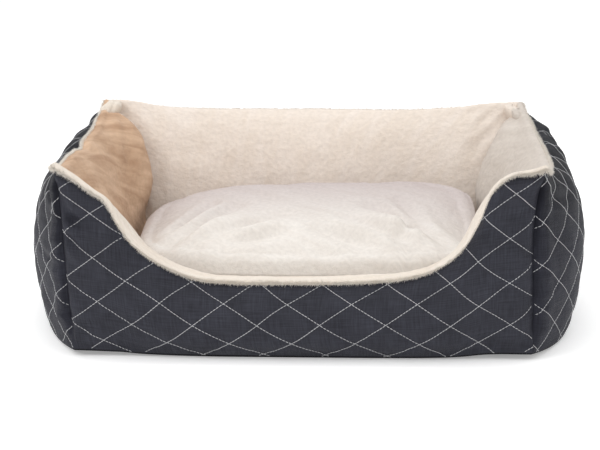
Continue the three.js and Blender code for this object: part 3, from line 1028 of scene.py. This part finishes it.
def lining_surface(g, recipe, seed):
    """The pile side of a lining, before its lip."""
    place = np.stack([g.a, g.b], -1)
    lift = soft_noise(place, 0.055, seed) * recipe.lump
    lift += soft_noise(place, 0.021, seed + 1) * recipe.lump * 0.4
    lift += soft_noise(place, 0.0055, seed + 2) * 0.00030
    edge = np.minimum(g.a - g.a[:, :1], g.a[:, -1:] - g.a)
    lift += gathers(edge, g.b, 0.02, 0.0012, 0.014, seed + 3)
    for start, end, depth, width in recipe.folds:
        lift += crease(g.a, g.b, cloth_place_of(g, *start), cloth_place_of(g, *end), depth, width)
    centre, height, size = recipe.cheek
    s, v = np.broadcast_arrays(g.s[None, :], g.b / g.length[None, :])
    lift += size * np.exp(-(((s - centre) / 0.30) ** 2) - ((v - height) / 0.27) ** 4)
    lift *= smooth_step(edge, 0, 0.010) * smooth_step(g.length - g.b, 0, 0.012)
    lift *= smooth_step(g.b, 0, 0.02)
    sink = 0.0030 * np.exp(-((edge / 0.007) ** 2)) * smooth_step(g.length - g.b, 0, 0.03)
    return g.points + g.normal * lift[..., None] + g.tie * sink[..., None]


# %% [markdown]
# ### Hairs on the lip
# Along the edge the pile stands up against the dark nylon, and there single tufts can be seen. They
# are thin closed spikes with seeded directions. Only the lip needs them, because on the broad
# surfaces the pile is finer than anyone can see.

# %% Tufts
TUFT_SHARE = {"front": 7000, "right": 4200, "back": 4600, "left": 4800}


def tufts(name, face, proud, down, s, seed, count):
    """Spikes of pile over the outer half of a lip."""
    rng = np.random.default_rng(seed)
    rows = rng.uniform(LIP_ROWS * 0.42, LIP_ROWS * 0.98, count)
    columns = rng.uniform(0, len(s) - 1.001, count)
    base = sample(face, rows, columns)
    normal = sample(grid_normals(face, np.broadcast_to(proud, face.shape)), rows, columns)
    lay = sample(np.broadcast_to(down, face.shape), rows, columns)
    tip_share = np.exp(-(1 - np.abs(sample(s[None, :].repeat(2, 0), rows * 0, columns)[:, 0])) / 0.05)
    length = rng.uniform(0.0013, 0.0042, count) * (1 + 0.9 * tip_share)
    wild = rng.normal(0, 0.45, (count, 3))
    direction = unit(normal * 0.8 + lay * rng.uniform(0.1, 1.0, count)[:, None] + wild)
    side = unit(np.cross(direction, wild + 0.01))
    other = np.cross(direction, side)
    width = rng.uniform(0.00022, 0.00042, count)[:, None]
    points = [base + (side * math.cos(t) + other * math.sin(t)) * width - normal * 0.0004
              for t in (0, 2.1, 4.2)]
    points.append(base + direction * length[:, None])
    points = np.stack(points, 1).reshape(-1, 3)
    shape = ((0, 1, 3), (1, 2, 3), (2, 0, 3), (0, 2, 1))
    faces = [[4 * k + v for v in f] for k in range(count) for f in shape]
    uv = np.repeat(np.stack([columns, rows], 1) * 0.001, 4, axis=0)
    piece = new_piece(name, points, faces, "bed", uv)
    cover_with(piece, PLUSH["lip"])
    return piece


# %% Make the four linings
LIP_FULLNESS = {"front": ((-1.0, 0.7), (-0.85, 0.8), (-0.72, 0.35), (-0.5, 0.7), (-0.2, 1.0), (0.3, 0.9),
                          (0.6, 0.5), (0.8, 0.3), (0.93, 0.9), (1.0, 0.7)),
                "right": ((-1.0, 0.7), (0.0, 0.5), (1.0, 0.9)),
                "back": ((-1.0, 0.9), (0.0, 0.9), (1.0, 0.9)),
                "left": ((-1.0, 0.9), (0.0, 0.5), (1.0, 0.7))}


def lip_fullness(name, s):
    at, size = np.array(LIP_FULLNESS[name]).T
    return np.interp(s, at, size)


for seed, (name, w) in enumerate(WALLS.items()):
    g = face_grid(w, "inner", 240, 84)
    pile = lining_surface(g, LININGS[name], 40 + seed * 10)
    fullness = lip_fullness(name, g.s) + 0.16 * soft_noise(g.a[0][:, None], 0.03, seed + 7)
    fullness += 0.14 * soft_noise(g.a[0][:, None], 0.007, seed + 8)
    face, back, proud, down = lip_section(w, g.s, fullness)
    outside = np.concatenate([pile, face[1:]])
    inside = np.concatenate([pile + g.tie * LINING_THICKNESS, back[1:]])
    run = np.concatenate([[0], np.linalg.norm(np.diff(face, axis=0), axis=2).mean(1).cumsum()])
    b = np.concatenate([g.b, g.b[-1][None, :] + run[1:, None]])
    a = np.broadcast_to(g.a[0], b.shape)
    lining = closed_sheet(f"{name}_plush_lining", outside, inside, "bed", np.stack([a, b], -1))
    cover_with(lining, PLUSH[name])
    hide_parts(f"{name}_inner_lining")
    hairs = tufts(f"{name}_lip_pile", face, proud, down, g.s, 200 + seed, TUFT_SHARE[name])
    area, size = cloth_area(SimpleNamespace(a=a, b=b))
    print(lining.name, "cut", [round(v, 3) for v in size], "area", round(area, 4))

# %% [markdown]
# ### Tucked corners
# At the two back corners there is more plush than the corner needs, and it is folded into a small
# soft ear. An ear is a stuffed fold, so a rounded body with uneven sides does it well.


# %% Ears of folded plush
def plush_ear(name, centre, half, lean, finish, seed):
    """A small closed fold of plush, half as big as half says, leaning sideways by lean."""
    turns, rings = 40, 24
    up = np.linspace(0, np.pi, rings + 1)[1:-1, None]
    round_it = np.linspace(0, 2 * np.pi, turns + 1)[None, :-1]
    ball = np.stack(np.broadcast_arrays(np.sin(up) * np.cos(round_it), np.sin(up) * np.sin(round_it),
                                        np.cos(up)), -1)
    bumps = 1 + 0.16 * soft_noise(ball * 1.4, 1.0, seed) + 0.04 * soft_noise(ball * 6, 1.0, seed + 1)
    pinch = 1 - 0.12 * np.exp(-(((ball[..., 0] - 0.25) / 0.16) ** 2)) * (ball[..., 2] > -0.9)
    body = ball * (bumps * pinch)[..., None] * half
    body[..., 0] += lean * body[..., 2]
    poles = np.array([[0, 0, half[2]], [0, 0, -half[2]]])
    points = np.concatenate([poles, body.reshape(-1, 3)]) + centre
    faces = []
    for k in range(turns):
        n = (k + 1) % turns
        faces.append([0, 2 + k, 2 + n])
        for r in range(rings - 2):
            a, b = 2 + r * turns, 2 + (r + 1) * turns
            faces.append([a + k, b + k, b + n, a + n])
        last = 2 + (rings - 2) * turns
        faces.append([1, last + n, last + k])
    ear = new_piece(name, points, faces, "bed", points[:, :2] + points[:, 2:])
    cover_with(ear, PLUSH[finish])


for name, side_x, offset, half, lean, finish, seed in (
    ("back_left_ear", -1, (0.003, -0.007, -0.0105), (0.0135, 0.019, 0.0125), 0.25, "front", 301),
    ("back_right_ear", 1, (-0.006, -0.007, -0.0125), (0.0105, 0.017, 0.0125), -0.30, "back", 303),
    ("back_right_fold", 1, (0.001, -0.015, -0.0145), (0.0090, 0.017, 0.011), -0.4, "right", 305),
):
    tip = CORNERS[(side_x, 1)]["inner"][3]
    plush_ear(name, tip + np.array(offset), half, lean, finish, seed)
    print(name, "at", tip.round(3).tolist())

# %% [markdown]
# ## The filling of the walls
# Polyester wadding fills each wall between nylon and plush. Nobody sees it, but it is a real part of
# the bed, so it is made as a lumpy body that stays a few millimetres inside both cloths.

# %% Bolster fillings
FILL_TOP = 0.88
FILL_END = 0.955
WADDING_INSET = 0.0085
WADDING_LUMPS = 0.0015
for seed, (name, w) in enumerate(WALLS.items()):
    s = np.linspace(-FILL_END, FILL_END, 71)[None, :]
    v = np.linspace(0.03, FILL_TOP, 25)[:, None]
    outer, inner = wall_face(w, "outer", s, v), wall_face(w, "inner", s, v)
    gap = np.linalg.norm(inner - outer, axis=2, keepdims=True)
    tie = (inner - outer) / gap
    lumps = soft_noise(outer, 0.03, 60 + seed)[..., None]
    inset = tie * np.minimum(WADDING_INSET + lumps * WADDING_LUMPS, gap * 0.4)
    near_outer = outer + inset
    near_inner = inner - inset
    place = np.stack(np.broadcast_arrays(s * w.widest, v * 0.2), -1)
    filling = closed_sheet(f"{name}_bolster_wadding", near_outer, near_inner, "bed", place)
    cover_with(filling, WADDING)
    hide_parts(f"{name}_bolster_fill")
    print(filling.name, "thickest", round(float(gap.max()), 3))

# %% [markdown]
# ## The floor of the bed
# Three flat layers make the floor: a plush lining under the cushion, a thin pad, and a hard-wearing
# cloth underneath with rubber dots that stop the bed from sliding. Each is a flat disc of rings, so
# its outline can follow the feet of the walls.


# %% Flat layers from an outline
def foot_outline(face, inset_share):
    """The closed line of the walls' feet, moved in towards the middle."""
    centre = np.array([0.0, WELL_MIDDLE if face == "inner" else 0.0])
    s = np.linspace(-1, 1, 61)[:-1]
    line = np.concatenate([wall_face(w, face, s, 0.0)[:, :2] for w in WALLS.values()])
    return centre, (line - centre) * (1 - inset_share) + centre


def flat_layer(name, outline, low, high, body, rings=26, wave=0.0004, seed=0, rise=0.0):
    """A closed flat layer between two heights, gently uneven on top; rise lifts its outline."""
    centre, line = outline
    share = np.linspace(0, 1, rings + 1)[1:, None, None]
    plan = centre + (line - centre)[None] * share
    rim = smooth_step(1 - share[..., 0], 0, 0.05)
    lift = soft_noise(plan, 0.03, seed) * wave + soft_noise(plan, 0.008, seed + 1) * wave * 0.5
    curl = rise * smooth_step(share[..., 0], 0.86, 1.0)
    top = np.concatenate([plan, (high - wave * 1.5 + lift * rim + curl)[..., None]], 2)
    under = np.concatenate([plan, (low + curl + 0 * lift)[..., None]], 2)
    count = line.shape[0]
    points = [[*centre, high - wave * 1.5], [*centre, low], *top.reshape(-1, 3), *under.reshape(-1, 3)]
    faces = []
    for k in range(count):
        n = (k + 1) % count
        faces.append([0, 2 + k, 2 + n])
        faces.append([1, 2 + rings * count + n, 2 + rings * count + k])
        for r in range(rings - 1):
            a, b = 2 + r * count, 2 + (r + 1) * count
            faces.append([a + k, b + k, b + n, a + n])
            a, b = a + rings * count, b + rings * count
            faces.append([a + n, b + n, b + k, a + k])
        last = 2 + (rings - 1) * count
        faces.append([last + k, last + rings * count + k, last + rings * count + n, last + n])
    uv = np.array([p[:2] for p in points])
    return new_piece(name, points, faces, body, uv)


def outline_facts(outline):
    """Width, length and area of a closed line."""
    line = outline[1]
    x, y = line.T
    area = abs((x * np.roll(y, -1) - np.roll(x, -1) * y).sum()) / 2
    return tuple(float(v) for v in np.ptp(line, axis=0)), float(area)


# %% Underside, pad and floor lining
pad_low, pad_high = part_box("base_pad")
well = foot_outline("inner", 0.017)
ground = foot_outline("outer", 0.004)
foot_s = np.linspace(-1, 1, 61)[:-1]
foot_line = np.concatenate([wall_face(w, "outer", foot_s, 0.0) for w in WALLS.values()])
foot_rise = foot_line[:, 2] - FOOT_HEIGHT
lining = flat_layer("floor_plush_lining", well, floor_low.z, floor_high.z, "bed", seed=31)
cover_with(lining, PLUSH["floor"])
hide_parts("floor_lining")
size, area = outline_facts(well)
pad = flat_layer("base_pad_wadding", well, pad_low.z, pad_high.z - 0.0003, "bed", seed=33)
cover_with(pad, WADDING)
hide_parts("base_pad")
underside = flat_layer("underside_cloth", ground, 0.0005, 0.0018, "bed", wave=0.0001, seed=35,
                       rise=foot_rise)
cover_with(underside, GRIP_CLOTH)
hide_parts("base_underside")

# %% Rubber dots under the base
DOT_STEP = 0.018
DOT_FIELD = (0.262, 0.188)
DOT_SIDES = 10
DOT_RINGS = ((0.0024, 0.0009), (0.0023, 0.0004), (0.0015, 0.0001))
dots_points, dots_faces, dots_uv = [], [], []
for row in range(-14, 15):
    for column in range(-18, 19):
        x = (column + (row % 2) * 0.5) * DOT_STEP
        y = row * DOT_STEP * 0.87
        if (abs(x) / DOT_FIELD[0]) ** 5 + (abs(y) / DOT_FIELD[1]) ** 5 > 1:
            continue
        start = len(dots_points)
        for radius, height in DOT_RINGS:
            for k in range(DOT_SIDES):
                turn = k * 2 * math.pi / DOT_SIDES
                spot = (x + radius * math.cos(turn), y + radius * math.sin(turn), height)
                dots_points.append(spot)
                dots_uv.append(spot[:2])
        for k in range(DOT_SIDES):
            n = (k + 1) % DOT_SIDES
            for r in (start, start + DOT_SIDES):
                dots_faces.append([r + k, r + DOT_SIDES + k, r + DOT_SIDES + n, r + n])
        dots_faces.append([start + k for k in range(DOT_SIDES)])
        dots_faces.append([start + 2 * DOT_SIDES + k for k in reversed(range(DOT_SIDES))])
dots = new_piece("underside_grip_dots", dots_points, dots_faces, "bed", dots_uv)
cover_with(dots, GRIP_DOT)
print("grip dots", len(dots_points) // (DOT_SIDES * len(DOT_RINGS)))

# %% [markdown]
# ## The loose cushion
# The cushion is a bag sewn from two rectangles with round corners and filled with wadding. The bag is
# modelled nearly full, in the space the frame gives it. A short cloth simulation under pressure then
# adds a little unevenness in its middle.

# %% The bag before it is filled
CUSHION_SQUARENESS = 4.5
COVER_THICKNESS = 0.003
cover_low, cover_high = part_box("cushion_top_cover")
bottom_low, bottom_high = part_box("cushion_bottom_cover")
SEAM_HEIGHT = bottom_high.z
CUSHION_HALF = np.array([cover_high.x - cover_low.x, cover_high.y - cover_low.y]) / 2
CUSHION_CENTRE = np.array([0.0, (cover_high.y + cover_low.y) / 2])
RISE = cover_high.z - SEAM_HEIGHT
SINK = SEAM_HEIGHT - bottom_low.z
CUSHION_COLUMNS, CUSHION_ROWS = 100, 68


def cushion_plan(columns, rows):
    """Even places on a square, and the same places on the rounded plan of the cushion."""
    q, p = np.meshgrid(np.linspace(-1, 1, rows + 1), np.linspace(-1, 1, columns + 1), indexing="ij")
    square = np.maximum(np.maximum(abs(p), abs(q)), 1e-9)
    round_size = (abs(p) ** CUSHION_SQUARENESS + abs(q) ** CUSHION_SQUARENESS) ** (1 / CUSHION_SQUARENESS)
    shrink = 1 + (round_size / square - 1) * square**3
    return p / shrink, q / shrink


def pillow_height(x, y, fullness):
    """Height share of a stuffed bag over its plan: 1 in the middle and 0 at the seam."""
    reach = (abs(x) ** CUSHION_SQUARENESS + abs(y) ** CUSHION_SQUARENESS) ** (1 / CUSHION_SQUARENESS)
    return np.maximum(1 - np.clip(reach, 0, 1) ** fullness, 0) ** (1 / fullness)


def bag_points(columns, rows, shrink=1.0):
    """Two grids of points, the top and the bottom of the bag, which meet in the seam."""
    x, y = cushion_plan(columns, rows)
    fullness = 2.1 + 0.6 * smooth_step(y, -0.1, 0.8)
    fullness = fullness + 2.2 * smooth_step(y, 0.0, 0.9) * smooth_step(x, -0.9, 0.1)
    fullness = fullness + 1.0 * smooth_step(x, 0.3, 1.0) * smooth_step(y, -0.3, 0.5)
    height = pillow_height(x, y, fullness)
    plan = CUSHION_CENTRE + np.stack([x, y], -1) * CUSHION_HALF * shrink
    push = 0.010 * smooth_step(y, -0.3, 0.8) * height
    top = np.concatenate([plan, (SEAM_HEIGHT + height * RISE * shrink + push)[..., None]], -1)
    low = np.concatenate([plan, (SEAM_HEIGHT - height * SINK * shrink)[..., None]], -1)
    return top, low


def bag_mesh(top, low):
    """One closed mesh whose seam points are shared, and the numbers of both grids in it."""
    rows, columns = top.shape[:2]
    numbers = np.arange(rows * columns).reshape(rows, columns)
    inner = np.zeros((rows, columns), bool)
    inner[1:-1, 1:-1] = True
    under = numbers.copy()
    under[inner] = rows * columns + np.arange(inner.sum())
    faces = []
    for r in range(rows - 1):
        faces.append(quads_between(numbers[r], numbers[r + 1])[:, ::-1])
        faces.append(quads_between(under[r], under[r + 1]))
    return np.concatenate([top.reshape(-1, 3), low[inner]]), np.concatenate(faces), numbers, under


# %% [markdown]
# The simulation has no gravity, because the wadding carries the cloth. Left alone, it swells the bag
# by several centimetres, so each point keeps at most FILL_CAP of its move, and less near the seam. The
# underside is pressed flat where it lies on the floor.

# %% Fill the bag by simulation
FILL_CAP = 0.006
FILL_STEPS = 22
BAG_SHRINK = 0.985
FADE_TO_SEAM = (0.72, 0.97)


def blow_up(points, faces):
    """The bag's points after a short cloth simulation under pressure."""
    bag = new_piece("cushion_bag", points, faces, "cushion")
    cloth = bag.modifiers.new("filling", "CLOTH")
    cloth.settings.quality = 5
    cloth.settings.mass = 0.25
    cloth.settings.tension_stiffness = 12
    cloth.settings.compression_stiffness = 12
    cloth.settings.shear_stiffness = 4
    cloth.settings.bending_stiffness = 0.35
    cloth.settings.shrink_min = -0.03
    cloth.settings.use_pressure = True
    cloth.settings.uniform_pressure_force = 4.0
    cloth.settings.effector_weights.gravity = 0.0
    cloth.collision_settings.use_collision = False
    cloth.point_cache.frame_start = 1
    cloth.point_cache.frame_end = FILL_STEPS
    for step in range(1, FILL_STEPS + 1):
        bpy.context.scene.frame_set(step)
    shaped = bag.evaluated_get(bpy.context.evaluated_depsgraph_get()).data
    moved = np.zeros(len(shaped.vertices) * 3)
    shaped.vertices.foreach_get("co", moved)
    bpy.context.scene.frame_set(1)
    bpy.data.objects.remove(bag, do_unlink=True)
    return moved.reshape(-1, 3)


start_top, start_low = bag_points(CUSHION_COLUMNS, CUSHION_ROWS, BAG_SHRINK)
points, faces, top_numbers, low_numbers = bag_mesh(start_top, start_low)
points += soft_noise(points, 0.028, 71)[:, None] * np.array([0.0, 0.0, 0.0012])
filled = points.copy()
move = blow_up(points, faces) - points
flat = (points[:, :2] - CUSHION_CENTRE) / CUSHION_HALF
reach = (np.abs(flat) ** CUSHION_SQUARENESS).sum(1) ** (1 / CUSHION_SQUARENESS)
move *= (1 - smooth_step(reach, *FADE_TO_SEAM))[:, None]
reach = np.linalg.norm(move, axis=1, keepdims=True)
filled = points + move * np.minimum(1, FILL_CAP / np.maximum(reach, 1e-9))
print("simulated, largest move", round(float(reach.max()), 4))


# %% [markdown]
# The folds come last. They are placed one by one: the two front corners keep long soft wrinkles that
# point to the middle.


# %% Finer cloth and its wrinkles
def finer(grid, times):
    """A grid with more rows and columns on smooth curves through the old points."""
    for _ in range(2):
        last = grid.shape[0] - 1
        value = np.linspace(0, last, last * times + 1)
        k = np.minimum(value.astype(int), last - 1)
        t = (value - k)[:, None, None]
        padded = np.concatenate([2 * grid[:1] - grid[1:2], grid, 2 * grid[-1:] - grid[-2:-1]])
        a, b, c, d = (padded[k + step] for step in range(4))
        grid = 0.5 * (2 * b + (c - a) * t + (2 * a - 5 * b + 4 * c - d) * t**2
                      + (3 * b - a - 3 * c + d) * t**3)
        grid = grid.transpose(1, 0, 2)
    return grid


CUSHION_FOLDS = (
    ((-0.74, -0.66), (-0.40, 0.05), 0.0080, 0.0105),
    ((-0.60, -0.72), (-0.14, -0.28), 0.0075, 0.0110),
    ((-0.76, -0.40), (-0.56, 0.16), 0.0080, 0.0095),
    ((-0.46, -0.74), (-0.12, -0.62), 0.0085, 0.0105),
    ((0.74, -0.60), (0.36, 0.04), 0.0080, 0.0115),
    ((0.60, -0.72), (0.22, -0.32), 0.0075, 0.0110),
    ((0.34, -0.76), (0.08, -0.56), 0.0085, 0.0110),
    ((0.66, -0.34), (0.52, 0.22), 0.0060, 0.0100),
    ((0.50, -0.62), (0.62, -0.30), 0.0050, 0.0090),
)


def wrinkled(grid, normal, seed, folds):
    """The cover's surface with creases, soft dents and a low nap."""
    x = grid[..., 0] - CUSHION_CENTRE[0]
    y = grid[..., 1] - CUSHION_CENTRE[1]
    lift = soft_noise(grid, 0.045, seed) * 0.0012 + soft_noise(grid, 0.006, seed + 1) * 0.00025
    for start, end, depth, width in folds:
        lift += crease(x, y, np.array(start) * CUSHION_HALF, np.array(end) * CUSHION_HALF, depth, width)
    rows, columns = grid.shape[:2]
    r, c = np.meshgrid(np.arange(rows), np.arange(columns), indexing="ij")
    edge = np.minimum(np.minimum(r, rows - 1 - r), np.minimum(c, columns - 1 - c))
    lift *= smooth_step(edge, 0, 8)
    return grid + normal * lift[..., None]


def kept_inside(grid):
    """The grid held inside the space that the frame gives to the cushion."""
    grid = grid.copy()
    half = CUSHION_HALF - 0.0005
    flat = grid[..., :2] - CUSHION_CENTRE
    reach = (np.abs(flat / half) ** CUSHION_SQUARENESS).sum(-1) ** (1 / CUSHION_SQUARENESS)
    grid[..., :2] = CUSHION_CENTRE + flat / np.maximum(reach, 1)[..., None]
    grid[..., 2] = np.maximum(grid[..., 2], bottom_low.z + 0.0002)
    return grid


# %% Make both covers
def outward(grid, up):
    """Rough directions away from the middle of the cushion, for choosing the side of normals."""
    towards = np.zeros_like(grid)
    towards[..., 2] = up
    towards[..., :2] = (grid[..., :2] - CUSHION_CENTRE) * 2
    return towards


def past_seam(grid, limit, up):
    """Keeps a grid on its own side of the seam's height."""
    clamp = np.maximum if up > 0 else np.minimum
    grid[..., 2] = clamp(grid[..., 2], limit)


def unrolled(grid, axis):
    """Distance along the cloth from the middle line, on the given axis of the grid."""
    step = np.linalg.norm(np.diff(grid, axis=axis), axis=2).cumsum(axis)
    start = np.zeros_like(np.take(step, [0], axis))
    run = np.concatenate([start, step], axis=axis)
    return run - np.take(run, [run.shape[axis] // 2], axis)


def cover(name, numbers, up, folds, node, seed):
    grid = finer(kept_inside(filled[numbers]), 3)
    towards = outward(grid, up)
    normal = grid_normals(grid, towards)
    outside = kept_inside(wrinkled(grid, normal, seed, folds))
    inside = outside - grid_normals(outside, towards) * COVER_THICKNESS
    past_seam(inside, SEAM_HEIGHT + math.copysign(0.0004, up), up)
    flat = np.stack([unrolled(outside, 1), unrolled(outside, 0)], -1)
    piece = closed_sheet(name, outside, inside, "cushion", flat)
    cover_with(piece, PLUSH["cushion"])
    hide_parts(node)
    step_r = np.linalg.norm(np.diff(outside, axis=0), axis=2).sum(0).max()
    step_c = np.linalg.norm(np.diff(outside, axis=1), axis=2).sum(1).max()
    print(name, "spans", round(float(step_c), 3), round(float(step_r), 3))
    return piece, outside


def grid_area(grid):
    first = np.linalg.norm(np.cross(grid[1:, :-1] - grid[:-1, :-1], grid[:-1, 1:] - grid[:-1, :-1]), axis=2)
    second = np.linalg.norm(np.cross(grid[1:, 1:] - grid[1:, :-1], grid[1:, 1:] - grid[:-1, 1:]), axis=2)
    return float(first.sum() + second.sum()) / 2


top_cover, top_grid = cover("cushion_top_plush", top_numbers, 0.1, CUSHION_FOLDS, "cushion_top_cover", 81)
low_cover, low_grid = cover("cushion_bottom_plush", low_numbers, -0.1, (), "cushion_bottom_cover", 91)
# The flat area of a cover is estimated from the model's own area, with an assumed stretch. It is
# not measured by unrolling the cloth.
COVER_STRETCH = 0.97
for piece, grid in ((top_cover, top_grid), (low_cover, low_grid)):
    area = grid_area(grid) * COVER_STRETCH
    print(piece.name, "flat area", round(area, 4))

# %% The cushion's wadding
def core_grid(grid, up):
    """Every third point of a cover, moved inside by the cover and a little more."""
    inner = (grid - grid_normals(grid, outward(grid, up)) * (COVER_THICKNESS + 0.0035))[::3, ::3]
    past_seam(inner, SEAM_HEIGHT + math.copysign(0.0006, up), up)
    return inner


core_top, core_low = core_grid(top_grid, 0.1), core_grid(low_grid, -0.1)
core_flat = np.stack([unrolled(core_top, 1), unrolled(core_top, 0)], -1)
core = closed_sheet("cushion_wadding", core_top, core_low, "cushion", core_flat)
cover_with(core, WADDING)
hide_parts("cushion_fill")
print("cushion core height", round(float(np.ptp(core_top[..., 2])) * 1000), "mm over the seam")

# %% [markdown]
# ## Floor, light and camera
# A white floor and a white sky give the even light of a catalogue table. One large soft lamp from the
# upper left makes the pile and the quilting stand out, and a weaker one fills the right side.

# %% Floor and sky
floor_mesh = bpy.data.meshes.new("studio_floor")
floor_mesh.from_pydata([(-4, -4, 0), (4, -4, 0), (4, 2.2, 0), (-4, 2.2, 0)], [], [(0, 1, 2, 3)])
studio_floor = bpy.data.objects.new("studio_floor", floor_mesh)
studio_floor.location.z = cad_low.z - 0.0002
bpy.context.scene.collection.objects.link(studio_floor)
pale = bpy.data.materials.new("pale_floor")
pale.use_nodes = True
paint = pale.node_tree.nodes["Principled BSDF"].inputs
paint["Base Color"].default_value = (0.97, 0.97, 0.97, 1)
paint["Roughness"].default_value = 0.9
paint["Emission Color"].default_value = (1, 1, 1, 1)
paint["Emission Strength"].default_value = 0.28
floor_mesh.materials.append(pale)

sky = bpy.data.worlds.new("studio_sky")
bpy.context.scene.world = sky
sky.use_nodes = True
tree = sky.node_tree
ray = put(tree, "ShaderNodeLightPath")
direction = put(tree, "ShaderNodeTexCoord")
parts = put(tree, "ShaderNodeSeparateXYZ", Vector=(direction, "Generated"))
overhead = put(tree, "ShaderNodeMapRange", Value=(parts, "Z"), From_Min=0.0, From_Max=0.85,
               To_Min=0.5, To_Max=1.08)
strength = put(tree, "ShaderNodeMix", {"data_type": "FLOAT"},
               _0=(ray, "Is Camera Ray"), _2=(overhead, 0), _3=1.05)
background = next(n for n in tree.nodes if n.type == "BACKGROUND")
background.inputs["Color"].default_value = (1, 1, 1, 1)
tree.links.new(strength.outputs[0], background.inputs["Strength"])

# %% Lamps
def softbox(name, place, aim, width, power):
    lamp = bpy.data.lights.new(name, "AREA")
    lamp.shape = "DISK"
    lamp.size = width
    lamp.energy = power
    box = bpy.data.objects.new(name, lamp)
    box.location = place
    box.rotation_euler = (Vector(aim) - Vector(place)).to_track_quat("-Z", "Y").to_euler()
    bpy.context.scene.collection.objects.link(box)


softbox("key_softbox", (-1.6, -1.4, 1.6), (0, 0, 0.1), 1.3, 16)
softbox("top_softbox", (0.2, 0.4, 2.6), (0, 0.3, 0), 2.4, 13)
softbox("fill_softbox", (1.6, -1.7, 0.9), (0, 0, 0.1), 1.4, 4)

# %% Camera
VIEW_AROUND = math.radians(1.876)
VIEW_UP = math.radians(13.1)
VIEW_DISTANCE = 1.937
AIM = Vector((-0.0095, 0.0, 0.091))
lens = bpy.data.cameras.new("catalogue_camera")
lens.lens = 103.7
lens.sensor_width = 36
camera = bpy.data.objects.new("catalogue_camera", lens)
back = Vector((math.sin(VIEW_AROUND) * math.cos(VIEW_UP), -math.cos(VIEW_AROUND) * math.cos(VIEW_UP),
               math.sin(VIEW_UP)))
camera.location = AIM + back * VIEW_DISTANCE
camera.rotation_euler = (-back).to_track_quat("-Z", "Y").to_euler()
bpy.context.scene.collection.objects.link(camera)
bpy.context.scene.camera = camera
bpy.context.scene.view_settings.view_transform = "Standard"
